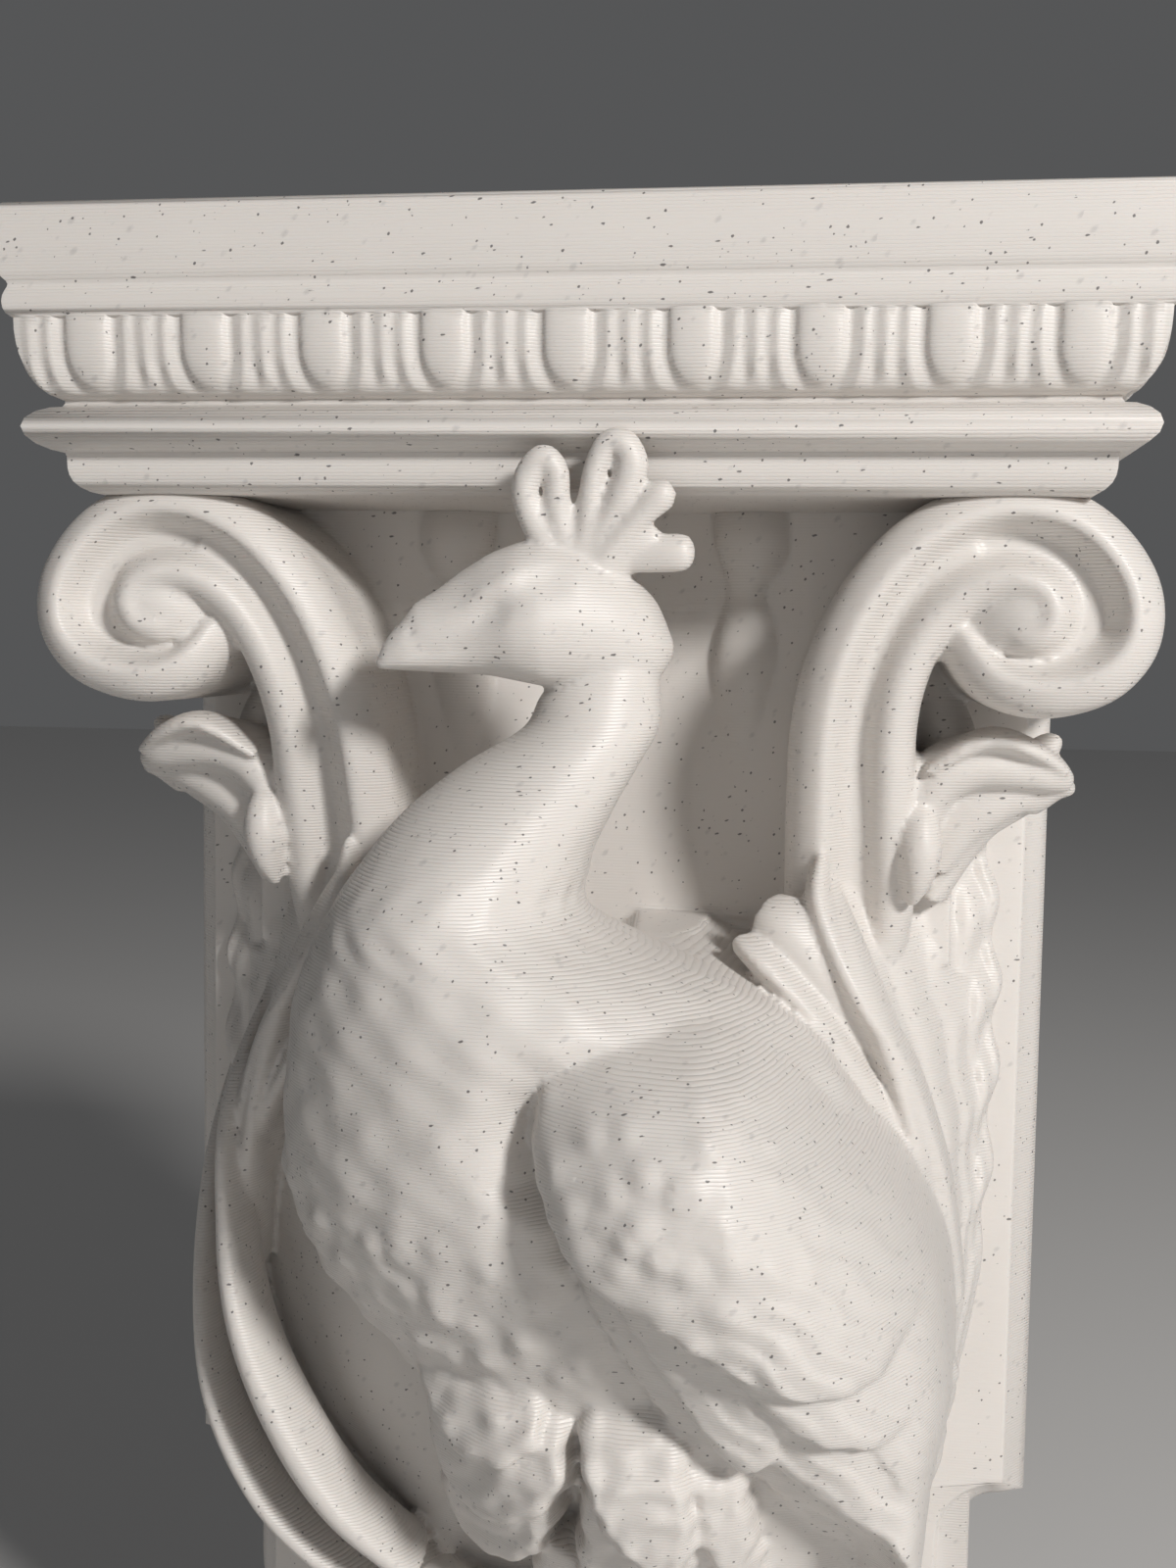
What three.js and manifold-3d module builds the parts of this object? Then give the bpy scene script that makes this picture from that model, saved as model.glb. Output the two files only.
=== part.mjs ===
// Small wall corbel shelf with a peacock, printed in one piece of off-white plastic.
// Millimetres, +Z up. The back lies on the wall at Y = 0, the front looks along -Y.
// The origin is the middle of the flat back, 40 mm under the shelf's lowest moulding.
import * as THREE from "three";
import { mergeVertices } from "three/addons/utils/BufferGeometryUtils.js";
import Module from "manifold-3d";

const wasm = await Module();
wasm.setup();

// Shelf slab and its mouldings, from the top down
const shelfWidth = 69;
const shelfDepth = 25;
const shelfUnderside = 40;
const fasciaHeight = 4.9;
const grooveHeight = 0.4;
const filletHeight = 1.5;
const ovoloHeight = 4.2;
const throatHeight = 0.9;
const beadHeight = 2.6;
const stepHeight = 0.9;
const cavettoHeight = 1.6;
const mouldingReach = 4.5;
const grooveDepth = 0.6;
const beadReach = 1.9;

// Egg-and-dart band on the ovolo
const eggPitch = 7.3;
const eggHalfWidth = 2.05;
const eggHalfHeight = 2.4;
const eggBulge = 1.75;
const dartHalfWidth = 0.7;
const ovoloSeat = 2.3;

// Back plate
const plateSetback = 5.6;
const plateThickness = 3.2;
const plateFlare = 1.8;
const notchDrop = 27.8;
const notchRadius = 4.6;
const lowerEdgeDrop = 38.6;
const plateDrop = 55.2;

// Volutes and the stems that carry them
const voluteInset = 1.1;
const voluteDrop = 6.8;
const voluteFront = 21;
const voluteRadius = 5.3;
const voluteBackDepth = 2;
const eyeRadius = 2.7;
const ridgeHeight = 3;
const stemLean = 1.2;

// Carved ground behind the bird
const nicheBackDepth = 5.5;
const nicheSideDepth = 8;
const nicheFloor = 12;
const nicheHalfWidth = 13.8;
const nicheMargin = 5;
const consoleTop = 9;
const consoleDrop = 51;
const reliefBackDepth = 1.2;

// The carving and the peacock are drawn below for these sizes, and scale with the ones in use
const drawnVoluteX = 27.8;
const drawnBirdHeight = 64;
const birdHeight = 64;

const plasticColour = 0xded9d4;

const lowHalfWidth = shelfWidth / 2 - mouldingReach;
const lowDepth = shelfDepth - mouldingReach;
const ovoloBottom = shelfUnderside + cavettoHeight + stepHeight + beadHeight + throatHeight;
const ovoloTop = ovoloBottom + ovoloHeight;
const plateHalfWidth = shelfWidth / 2 - plateSetback;
const voluteCentreX = plateHalfWidth - voluteInset;
const voluteCentreZ = shelfUnderside - voluteDrop;

const sideSpread = voluteCentreX / drawnVoluteX;
const birdUnit = birdHeight / drawnBirdHeight;

// A smooth run of values through hand-set stations, each a list of numbers
function smooth(stations, t) {
  const last = stations.length - 1;
  const place = Math.min(Math.max(t, 0), 1) * last;
  const i = Math.min(Math.floor(place), last - 1);
  const u = place - i;
  const a = stations[Math.max(i - 1, 0)];
  const b = stations[i];
  const c = stations[i + 1];
  const d = stations[Math.min(i + 2, last)];
  return b.map((value, k) => {
    const slopeB = (c[k] - a[k]) / 2;
    const slopeC = (d[k] - b[k]) / 2;
    const u2 = u * u;
    const u3 = u2 * u;
    return value * (2 * u3 - 3 * u2 + 1) + slopeB * (u3 - 2 * u2 + u)
      + c[k] * (3 * u2 - 2 * u3) + slopeC * (u3 - u2);
  });
}

// Straight reading of a table whose first column falls or rises
function along(table, key) {
  const rising = table[table.length - 1][0] > table[0][0];
  const rows = rising ? table : [...table].reverse();
  if (key <= rows[0][0]) return rows[0][1];
  for (let i = 1; i < rows.length; i += 1) {
    if (key <= rows[i][0]) {
      const share = (key - rows[i - 1][0]) / (rows[i][0] - rows[i - 1][0]);
      const eased = share * share * (3 - 2 * share) * 0.3 + share * 0.7;
      return rows[i - 1][1] + (rows[i][1] - rows[i - 1][1]) * eased;
    }
  }
  return rows[rows.length - 1][1];
}

// Closed body through a run of rings that have equal point counts
function loft(rings) {
  const sides = rings[0].length;
  const positions = rings.flat().flatMap((p) => [p.x, p.y, p.z]);
  const index = [];
  for (let r = 0; r + 1 < rings.length; r += 1) {
    for (let s = 0; s < sides; s += 1) {
      const a = r * sides + s;
      const b = r * sides + ((s + 1) % sides);
      index.push(a, b, b + sides, a, b + sides, a + sides);
    }
  }
  index.push(...capTriangles(rings[0], 0).reverse());
  index.push(...capTriangles(rings[rings.length - 1], (rings.length - 1) * sides));
  const geometry = new THREE.BufferGeometry();
  geometry.setAttribute("position", new THREE.Float32BufferAttribute(positions, 3));
  geometry.setIndex(index);
  return facingOut(geometry);
}

// Triangles of a flat ring, seen along the ring's own normal
function capTriangles(ring, start) {
  const normal = new THREE.Vector3();
  ring.forEach((p, i) => {
    const q = ring[(i + 1) % ring.length];
    normal.x += (p.y - q.y) * (p.z + q.z);
    normal.y += (p.z - q.z) * (p.x + q.x);
    normal.z += (p.x - q.x) * (p.y + q.y);
  });
  normal.normalize();
  const helper = Math.abs(normal.z) < 0.9 ? new THREE.Vector3(0, 0, 1) : new THREE.Vector3(0, 1, 0);
  const across = new THREE.Vector3().crossVectors(helper, normal).normalize();
  const upward = new THREE.Vector3().crossVectors(normal, across);
  const flat = ring.map((p) => new THREE.Vector2(p.dot(across), p.dot(upward)));
  const faces = THREE.ShapeUtils.triangulateShape(flat, []);
  return faces.flat().map((corner) => start + corner);
}

// Turns a closed body's faces outward when its signed volume comes out negative
function facingOut(geometry) {
  const at = geometry.attributes.position;
  const index = geometry.index.array;
  const [a, b, c] = [new THREE.Vector3(), new THREE.Vector3(), new THREE.Vector3()];
  let volume = 0;
  for (let i = 0; i < index.length; i += 3) {
    a.fromBufferAttribute(at, index[i]);
    b.fromBufferAttribute(at, index[i + 1]);
    c.fromBufferAttribute(at, index[i + 2]);
    volume += a.dot(b.clone().cross(c));
  }
  if (volume < 0) geometry.setIndex([...index].reverse());
  return geometry;
}

function toSolid(geometry) {
  const bare = geometry.clone();
  bare.deleteAttribute("normal");
  bare.deleteAttribute("uv");
  const merged = mergeVertices(bare, 1e-4);
  return new wasm.Manifold(new wasm.Mesh({
    numProp: 3,
    vertProperties: Float32Array.from(merged.attributes.position.array),
    triVerts: Uint32Array.from(merged.index.array),
  }));
}

// Round or flattened limb. Stations are [x, y, z, half width, half depth]; the width lies across
// the path in the plane of the wall, the depth stands out from it.
function limb(stations, { steps = 8, sides = 8, unit = 1, mirror = 1 } = {}) {
  const rings = [];
  for (let i = 0; i <= steps; i += 1) {
    const t = i / steps;
    const [x, y, z, wide, deep] = smooth(stations, t);
    const ahead = smooth(stations, Math.min(t + 0.01, 1));
    const behind = smooth(stations, Math.max(t - 0.01, 0));
    const tangent = new THREE.Vector3(ahead[0] - behind[0], ahead[1] - behind[1], ahead[2] - behind[2]);
    tangent.normalize();
    const across = new THREE.Vector3(tangent.z, 0, -tangent.x).normalize();
    const outward = new THREE.Vector3().crossVectors(tangent, across);
    const ring = [];
    for (let s = 0; s < sides; s += 1) {
      const angle = (2 * Math.PI * s) / sides;
      const point = new THREE.Vector3(x, y, z);
      point.addScaledVector(across, wide * Math.cos(angle));
      point.addScaledVector(outward, deep * Math.sin(angle));
      point.multiplyScalar(unit);
      point.x *= mirror;
      ring.push(point);
    }
    rings.push(ring);
  }
  return loft(rings);
}

// Shelf: rectangular rings along the moulding profile, mitred at both front corners
function mouldingProfile() {
  const profile = [];
  let up = shelfUnderside;
  const add = (out, z) => profile.push([out, z]);
  add(0, up);
  add(0.35, up + 0.5);
  add(1.05, up + cavettoHeight - 0.4);
  up += cavettoHeight;
  add(1.5, up);
  up += stepHeight;
  add(1.55, up);
  for (let i = 0; i <= 4; i += 1) {
    const angle = (Math.PI * i) / 4;
    add(1.7 + beadReach * Math.sin(angle), up + (beadHeight * (1 - Math.cos(angle))) / 2);
  }
  up += beadHeight + throatHeight;
  add(1.6, up - throatHeight / 3);
  for (let i = 0; i <= 3; i += 1) {
    const angle = (Math.PI * i) / 6;
    add(1.7 + 1.4 * Math.sin(angle), up + ovoloHeight * (1 - Math.cos(angle)));
  }
  up += ovoloHeight;
  add(mouldingReach - 0.4, up + 0.15);
  add(mouldingReach - 0.15, up + filletHeight * 0.5);
  add(mouldingReach - 0.4, up + filletHeight);
  up += filletHeight + grooveHeight;
  add(mouldingReach - grooveDepth, up - grooveHeight / 2);
  add(mouldingReach - 0.1, up);
  add(mouldingReach, up + 0.3);
  up += fasciaHeight;
  add(mouldingReach, up - 0.4);
  add(mouldingReach - 0.35, up);
  return profile;
}

function shelfSolid() {
  const rings = mouldingProfile().map(([out, z]) => {
    const half = lowHalfWidth + out;
    const front = -(lowDepth + out);
    return [
      new THREE.Vector3(-half, 0, z),
      new THREE.Vector3(-half, front, z),
      new THREE.Vector3(half, front, z),
      new THREE.Vector3(half, 0, z),
    ];
  });
  return toSolid(loft(rings));
}

// One egg, seated on the ovolo with its long axis upright
function egg() {
  const geometry = new THREE.SphereGeometry(1, 6, 4);
  geometry.rotateX(Math.PI / 2);
  geometry.scale(eggHalfWidth, eggBulge, eggHalfHeight);
  geometry.rotateX(-0.22);
  return geometry;
}

// One dart between two eggs: a slim ridge that narrows downward
function dart() {
  const geometry = new THREE.ConeGeometry(1, 2 * eggHalfHeight * 0.95, 4);
  geometry.rotateX(-Math.PI / 2);
  geometry.scale(dartHalfWidth * 1.4, 1.1, 1);
  geometry.rotateX(-0.22);
  return geometry;
}

function eggBand() {
  const pieces = [];
  const middle = (ovoloTop + ovoloBottom) / 2 + 0.1;
  const seat = lowDepth + ovoloSeat;
  const sideSeat = lowHalfWidth + ovoloSeat;
  const perSide = Math.floor((shelfWidth / 2 - eggPitch / 2) / eggPitch);
  for (let i = -perSide; i <= perSide; i += 1) {
    pieces.push(egg().translate(i * eggPitch, -seat, middle));
    if (i < perSide) pieces.push(dart().translate((i + 0.5) * eggPitch, -seat, middle));
  }
  for (const side of [-1, 1]) {
    pieces.push(dart().translate(side * (perSide + 0.48) * eggPitch, -seat, middle));
    for (let y = eggPitch * 0.55; y < lowDepth; y += eggPitch) {
      pieces.push(egg().rotateZ((side * Math.PI) / 2).translate(side * sideSeat, -y, middle));
      if (y + eggPitch < lowDepth) {
        const turned = dart().rotateZ((side * Math.PI) / 2);
        pieces.push(turned.translate(side * sideSeat, -y - eggPitch / 2, middle));
      }
    }
  }
  return pieces.map(toSolid);
}

// Back plate: outline with a concave notch at each side and a rounded lower end
function plateOutline(grow) {
  const half = plateHalfWidth + grow;
  const notch = notchRadius - grow;
  const notchCentre = -notchDrop - notchRadius;
  const lowerHalf = plateHalfWidth - notchRadius + grow;
  const right = [[half, shelfUnderside + 1], [half, notchCentre + notch]];
  for (let i = 0; i <= 5; i += 1) {
    const angle = Math.PI / 2 + (Math.PI / 2) * (i / 5);
    right.push([plateHalfWidth + notch * Math.cos(angle), notchCentre + notch * Math.sin(angle)]);
  }
  for (let i = 0; i < 8; i += 1) {
    const angle = (Math.PI / 2) * (i / 8);
    const drop = plateDrop - lowerEdgeDrop + grow;
    right.push([lowerHalf * Math.cos(angle), -lowerEdgeDrop - drop * Math.sin(angle)]);
  }
  const left = right.map(([x, z]) => [-x, z]).reverse();
  return [...right, [0, -plateDrop - grow], ...left];
}

function plateSolid() {
  const layers = [[0, plateFlare], [-0.8, plateFlare], [-plateThickness + 0.3, 0.2], [-plateThickness, 0]];
  const rings = layers.map(([y, grow]) => plateOutline(grow).map(([x, z]) => new THREE.Vector3(x, y, z)));
  return toSolid(loft(rings));
}

// Carved ground: horizontal rings whose front edge follows a depth function
function reliefSolid(levels, columns, halfSpan, depthAt) {
  const rings = levels.map((z) => {
    const half = halfSpan(z);
    const ring = [new THREE.Vector3(half, -reliefBackDepth, z)];
    for (let i = 0; i <= columns; i += 1) {
      const x = half * Math.cos((Math.PI * i) / columns);
      ring.push(new THREE.Vector3(x, -depthAt(x, z, half), z));
    }
    ring.push(new THREE.Vector3(-half, -reliefBackDepth, z));
    return ring;
  });
  return toSolid(loft(rings));
}

const consoleSpan = [
  [14, 26.6], [6, 26.6], [-4, 26.4], [-13, 25.6], [-18, 24.3], [-22, 22.4], [-27, 18.8], [-31, 14],
  [-35, 11], [-41, 9], [-47, 6.4], [-51, 4],
];
const consoleDepth = [
  [14, 12], [6, 15], [-4, 16.5], [-16, 17], [-24, 16.5], [-31, 14.5], [-38, 11.5], [-46, 8], [-51, 5.5],
];

// The bracket behind the bird: a bulging console that tapers to a leaf cup
function consoleSolid() {
  const levels = [];
  const levelCount = 16;
  for (let i = 0; i <= levelCount; i += 1) {
    levels.push(consoleTop - ((consoleTop + consoleDrop) * i) / levelCount);
  }
  return reliefSolid(levels, 12, (z) => sideSpread * along(consoleSpan, z), (x, z, half) => {
    const share = Math.min(Math.abs(x) / half, 1);
    const edge = plateThickness + 0.4;
    const body = (along(consoleDepth, z) - edge) * (1 - share ** 3) ** 0.75;
    return edge + body;
  });
}

// Niche between the stems: a concave back wall
function nicheSolid() {
  const levels = [nicheFloor - 2, nicheFloor + 6, nicheFloor + 14, nicheFloor + 22, shelfUnderside + 0.6];
  return reliefSolid(levels, 14, () => plateHalfWidth - nicheMargin, (x) => {
    const share = Math.min(Math.abs(x) / nicheHalfWidth, 1);
    return nicheBackDepth + (nicheSideDepth - nicheBackDepth) * share ** 2;
  });
}

// Volute band: a channelled stem that rises, rolls outward at the top and curls into a spiral.
// Stations are [x, z, front, half width, curl]; curl turns the channel into a single roll.
function voluteStations(lean) {
  const stations = [
    [10.2, nicheFloor - 3 - voluteCentreZ, 8.5, 2.2, 0],
    [10.9, -18.2, 6, 3.2, 0],
    [11.1, -11.7, 4, 3.6, 0],
    [10.6, -5.2, 2, 3.4, 0],
    [8.4, 0.6, 0.6, 3, 0.2],
    [4.6, 4.1, 0, 2.6, 0.6],
  ].map(([inward, up, set, half, curl]) => {
    const leaned = inward + lean * Math.min(1, Math.max(0, (2.8 - up) / 10));
    return [voluteCentreX - leaned, voluteCentreZ + up, voluteFront - set, half, curl];
  });
  for (let degrees = 90; degrees >= -210; degrees -= 30) {
    const share = (90 - degrees) / 300;
    const radius = voluteRadius * (1 - 0.6 * share ** 2);
    const angle = (degrees * Math.PI) / 180;
    const half = 2.45 - 0.9 * share ** 2;
    stations.push([
      voluteCentreX + radius * Math.cos(angle),
      voluteCentreZ + radius * Math.sin(angle),
      voluteFront, half, 1,
    ]);
  }
  return stations;
}

const bandAcross = [-1, -0.8, -0.5, -0.1, 0.4, 0.8, 1];
const stemHeights = [0.2, 0.85, 1, 0.45, 0.2, 0.55, 0.1];
const rollHeights = [0, 0.7, 1, 0.95, 0.6, 0.25, 0];

function voluteSolid(side, lean) {
  const stations = voluteStations(lean);
  const steps = 26;
  const rings = [];
  for (let i = 0; i <= steps; i += 1) {
    const t = i / steps;
    const [x, z, front, half, curl] = smooth(stations, t);
    const ahead = smooth(stations, Math.min(t + 0.004, 1));
    const behind = smooth(stations, Math.max(t - 0.004, 0));
    const run = Math.hypot(ahead[0] - behind[0], ahead[1] - behind[1]);
    const acrossX = (ahead[1] - behind[1]) / run;
    const acrossZ = -(ahead[0] - behind[0]) / run;
    const back = THREE.MathUtils.lerp(reliefBackDepth, voluteBackDepth, curl);
    const ring = [new THREE.Vector3(side * (x - acrossX * half), -back, z - acrossZ * half)];
    bandAcross.forEach((s, k) => {
      const height = THREE.MathUtils.lerp(stemHeights[k], rollHeights[k], curl);
      const depth = front - ridgeHeight * (1 - height);
      ring.push(new THREE.Vector3(side * (x + acrossX * half * s), -depth, z + acrossZ * half * s));
    });
    ring.push(new THREE.Vector3(side * (x + acrossX * half), -back, z + acrossZ * half));
    rings.push(ring);
  }
  return toSolid(loft(rings));
}

// Rounded end of the spiral
function voluteEye(side) {
  const geometry = new THREE.SphereGeometry(1, 8, 6);
  geometry.scale(eyeRadius, eyeRadius, eyeRadius);
  geometry.translate(side * (voluteCentreX - 0.8), -voluteFront + eyeRadius - 0.3, voluteCentreZ);
  const length = voluteFront - eyeRadius - voluteBackDepth;
  const core = new THREE.CylinderGeometry(eyeRadius - 0.1, eyeRadius - 0.1, length, 8);
  core.translate(side * (voluteCentreX - 0.8), -voluteBackDepth - length / 2, voluteCentreZ);
  return [toSolid(geometry), toSolid(core)];
}

// Acanthus at one side: ribs, fringe lobes on the plate, the curled tip, the bud and the tongue.
// Stations are [x, distance out of the plate's face, z, half width, half depth].
const acanthusLimbs = [
  // Outer rib, from the fringe down and in under the bird
  [[26.2, 1.3, 4, 0.7, 1.2], [26, 3.3, -5, 0.9, 2], [25.2, 6.8, -13.5, 1.1, 3], [23.3, 8.3, -20.5, 1.2, 3],
    [19.8, 8.8, -26.2, 1.3, 3], [15.8, 8.8, -30, 1.3, 3], [11, 7.8, -32.6, 1.2, 3]],
  // Second rib, inside the first
  [[22.4, 4.8, 9, 0.8, 2], [23.4, 7.8, 0, 1, 3], [23, 9.8, -8, 1.1, 3], [21.2, 11.3, -14.5, 1.2, 3],
    [18.6, 11.8, -20, 1.2, 3], [14.8, 11.8, -25.2, 1.2, 3], [10, 10.8, -29.4, 1.1, 3]],
  // Rib below the stem's inner ridge
  [[15.4, 11.3, 16, 1.3, 3], [17.6, 12.3, 10.8, 1.3, 3], [20.4, 11.3, 4, 1.2, 3], [22.4, 9.3, -4, 1, 3],
    [23.2, 6.8, -12, 0.8, 3]],
  // Middle rib below the channel
  [[19.6, 8.3, 15, 1, 3], [21.2, 8.8, 8.5, 1, 3], [23, 7.8, 1, 0.9, 3], [24.2, 5.8, -8, 0.8, 2.4]],
  // Fringe lobes
  [[23, 2.8, -1, 0.8, 1.6], [24.4, 3, 7, 1.1, 2], [26, 2, 11.8, 1.2, 1.6], [27.4, 0.8, 14.4, 0.7, 0.8]],
  [[24.4, 2.2, -8, 0.7, 1.6], [25.4, 2.2, 0, 1, 1.8], [26.4, 1.6, 4.6, 1.1, 1.5], [27.4, 0.6, 7, 0.6, 0.7]],
  [[25, 1.8, -13, 0.6, 1.6], [25.8, 1.8, -5.6, 0.9, 1.6], [26.6, 1.2, -1, 1, 1.3],
    [27.4, 0.4, 1.6, 0.5, 0.6]],
  // Leaf whose tip curls out under the volute
  [[19.6, 5.8, 13, 2, 4], [21, 7.3, 18.5, 2.4, 3.6], [23.4, 8.3, 22, 2.2, 2.6], [26.6, 8.8, 23.4, 1.7, 1.8],
    [29.2, 8.2, 23.4, 1.2, 1.3], [30.4, 7.4, 22.2, 0.5, 0.6]],
  [[21.4, 2.8, 12, 2, 3], [24, 3.8, 17, 1.8, 2.4], [26.6, 3.8, 20, 1.3, 1.8], [28.2, 2.8, 21.4, 0.6, 0.8]],
  // Bud beside the stem
  [[20.8, 9.4, 21, 0.5, 0.7], [21, 10, 19.6, 1.1, 1.5], [20.8, 10, 17.6, 1.1, 1.5],
    [20.2, 8.8, 14.6, 0.6, 1.2], [20.2, 7.8, 11, 0.5, 1]],
  // Tongue beside the bird's back
  [[10.8, 13.4, 11.8, 0.6, 1], [12.4, 14.2, 12.6, 1.5, 2], [15, 14.6, 10.8, 1.9, 2.6],
    [18, 13.4, 5.6, 1.7, 3], [20.6, 11.2, -0.6, 1.2, 3], [22, 8.8, -7, 0.7, 2.6]],
];

function offPlate(stations) {
  return stations.map(([x, out, z, wide, deep]) => [x * sideSpread, -plateThickness - out, z, wide, deep]);
}

// Low leaves on the niche's back wall
const nicheLeaves = [
  [[10.2, -6.4, 40.4, 2.7, 1.6], [10.2, -7, 37.6, 2.6, 1.7], [9.9, -6.4, 34.8, 1.5, 1.2],
    [10, -6.6, 31, 2.3, 1.5], [9.9, -6.2, 26.5, 2, 1.2], [9.9, -5.6, 21, 0.7, 0.8]],
];

// Peacock. Torso stations are [x, y, z, half width, half depth] of level rings, head to tail.
const torso = [
  [2.9, -21.3, 30.4, 2.4, 2.6],
  [1.9, -21.2, 28, 3.6, 3.4],
  [1.3, -21.3, 26, 4.1, 3.9],
  [-1.1, -22, 23.7, 5.3, 4.9],
  [-3.4, -22.9, 21, 6.2, 6.5],
  [-5.2, -23.2, 18, 6.8, 8.6],
  [-6.1, -22.7, 14.7, 8.1, 10.4],
  [-2.9, -21.5, 10.8, 13.4, 12.4],
  [-0.9, -20.6, 7.6, 16.2, 13.6],
  [0.3, -19.8, 3.4, 18, 14.2],
  [1.7, -19, -2, 19.5, 14.2],
  [3.9, -18, -8, 19.7, 13],
  [6.6, -17, -14, 17.6, 11.2],
  [9.2, -15.6, -20, 14.4, 9.6],
  [11, -14, -26, 11.2, 8],
  [11, -12, -32, 8.4, 6.4],
  [9.4, -9.6, -39, 5.4, 4.6],
  [7, -7, -46, 2.4, 2.6],
];

// Level rings; swing turns each ring so that its right side falls back towards the wall
function levelRings(stations, steps, sides, swing) {
  const rings = [];
  const upright = new THREE.Vector3(0, 0, 1);
  for (let i = 0; i <= steps; i += 1) {
    const [x, y, z, wide, deep] = smooth(stations, i / steps);
    const ring = [];
    for (let s = 0; s < sides; s += 1) {
      const angle = (2 * Math.PI * s) / sides;
      const point = new THREE.Vector3(wide * Math.cos(angle), deep * Math.sin(angle), 0);
      point.applyAxisAngle(upright, swing).add(new THREE.Vector3(x, y, z));
      ring.push(point.multiplyScalar(birdUnit));
    }
    rings.push(ring);
  }
  return loft(rings);
}

// Head and beak: upright rings from the nape to the tip of the beak
const head = [
  [5.9, -20.8, 30.8, 0.8, 0.8], [5.2, -21, 31, 2.3, 2.2], [3.6, -21.4, 31.8, 3.5, 3.1],
  [1.1, -22, 32.6, 4.35, 3.7], [-1.2, -22.4, 32.7, 4.7, 3.9], [-3.5, -22.8, 32.5, 4.2, 3.5],
  [-5.7, -23.2, 32.1, 3.1, 2.6], [-7.4, -23.6, 31.6, 2.4, 1.9], [-8.8, -24, 31.1, 1.8, 1.4],
  [-10, -24.4, 30.3, 0.95, 0.8], [-10.7, -24.6, 29.7, 0.3, 0.3],
];

function headGeometry() {
  const rings = [];
  const steps = 16;
  const sides = 12;
  for (let i = 0; i <= steps; i += 1) {
    const [x, y, z, tall, thick] = smooth(head, i / steps);
    const ring = [];
    for (let s = 0; s < sides; s += 1) {
      const angle = (2 * Math.PI * s) / sides;
      const point = new THREE.Vector3(x, y + thick * Math.cos(angle), z + tall * Math.sin(angle));
      ring.push(point.multiplyScalar(birdUnit));
    }
    rings.push(ring);
  }
  return loft(rings);
}

// Crest: two plumes bent into loops and three that end in a club
const crestPlumes = [
  [[-0.4, -23, 35.6, 0.8, 0.8], [-2.3, -23.9, 38.6, 0.7, 0.7], [-2.9, -24.4, 41.2, 0.75, 0.75],
    [-1.8, -24.6, 42.6, 0.75, 0.75], [-0.8, -24.4, 41.2, 0.7, 0.7], [-0.6, -24, 38.8, 0.7, 0.7],
    [0.4, -23, 35.6, 0.8, 0.8]],
  [[0.4, -23, 35.6, 0.8, 0.8], [0.5, -24, 39.6, 0.75, 0.75], [1, -24.5, 42.2, 0.8, 0.8],
    [2.6, -24.6, 43.4, 0.8, 0.8], [3.8, -24.5, 42.4, 0.8, 0.8], [3.4, -24, 39.8, 0.75, 0.75],
    [1.4, -23, 35.8, 0.8, 0.8]],
  [[1.6, -23, 35.6, 0.9, 0.9], [4.2, -24, 38.4, 0.8, 0.8], [6, -24.2, 40, 1, 0.9], [7, -24.2, 41, 0.5, 0.5]],
  [[2.2, -22.6, 34.8, 0.9, 0.9], [4.6, -23.2, 36.6, 0.8, 0.8], [6.2, -23.4, 37.8, 0.8, 0.7]],
  [[2.4, -22.4, 34, 0.9, 0.9], [5, -22.8, 35.7, 0.9, 0.8], [7.2, -23, 36.6, 1, 0.9],
    [8, -23, 36.8, 0.4, 0.4]],
];

// Wing: the shoulder and coverts as one swelling body, then long feathers fanned below it
const wingSwing = 0.45;
const wing = [
  [7.6, -25, 12.2, 2.6, 2.6], [8.4, -28, 10.2, 6.4, 5.6], [9.4, -30.2, 6, 9.2, 7.6],
  [10.2, -30.6, 1, 10.4, 8], [11.8, -29.8, -3.6, 9.4, 7], [14, -28, -7.2, 6.6, 5],
  [16.6, -26.4, -9.4, 2.4, 2.2],
];
const featherCount = 6;
const featherWidths = [1.6, 2.4, 2.4, 2, 0.5];

function wingFeather(i) {
  const share = i / (featherCount - 1);
  const start = [4 + 9 * share, -31.4 + 0.6 * share, -3.4 - 1.4 * share];
  const tip = [20.4 + 3.4 * share, -25.6 + 1.4 * share, -21.4 + 12 * share];
  return featherWidths.map((wide, k) => {
    const t = k / (featherWidths.length - 1);
    const swell = Math.sin(Math.PI * t);
    return [
      start[0] + (tip[0] - start[0]) * t - swell * (1.2 - share),
      start[1] + (tip[1] - start[1]) * t - swell * 0.8,
      start[2] + (tip[2] - start[2]) * t - swell * (1 - share),
      wide, 1.4 - 0.7 * t,
    ];
  });
}

// Train: long feathers that hang from under the wing over the leaf cup
const trainCount = 5;

function trainFeather(i) {
  const share = i / (trainCount - 1);
  return [
    [8 + 12 * share, -21 + 3 * share, -18, 2, 2],
    [8.5 + 11 * share, -20.5 + 4 * share, -25, 2.4, 2],
    [6.5 + 9.5 * share, -17.2 + 3.4 * share, -34, 2.1, 2],
    [5 + 6 * share, -12.4 + 2 * share, -42 + 2 * share, 1.6, 1.8],
    [4 + 4.5 * share, -9 + 1.2 * share, -47 + 3 * share, 0.6, 0.9],
  ];
}

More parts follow.
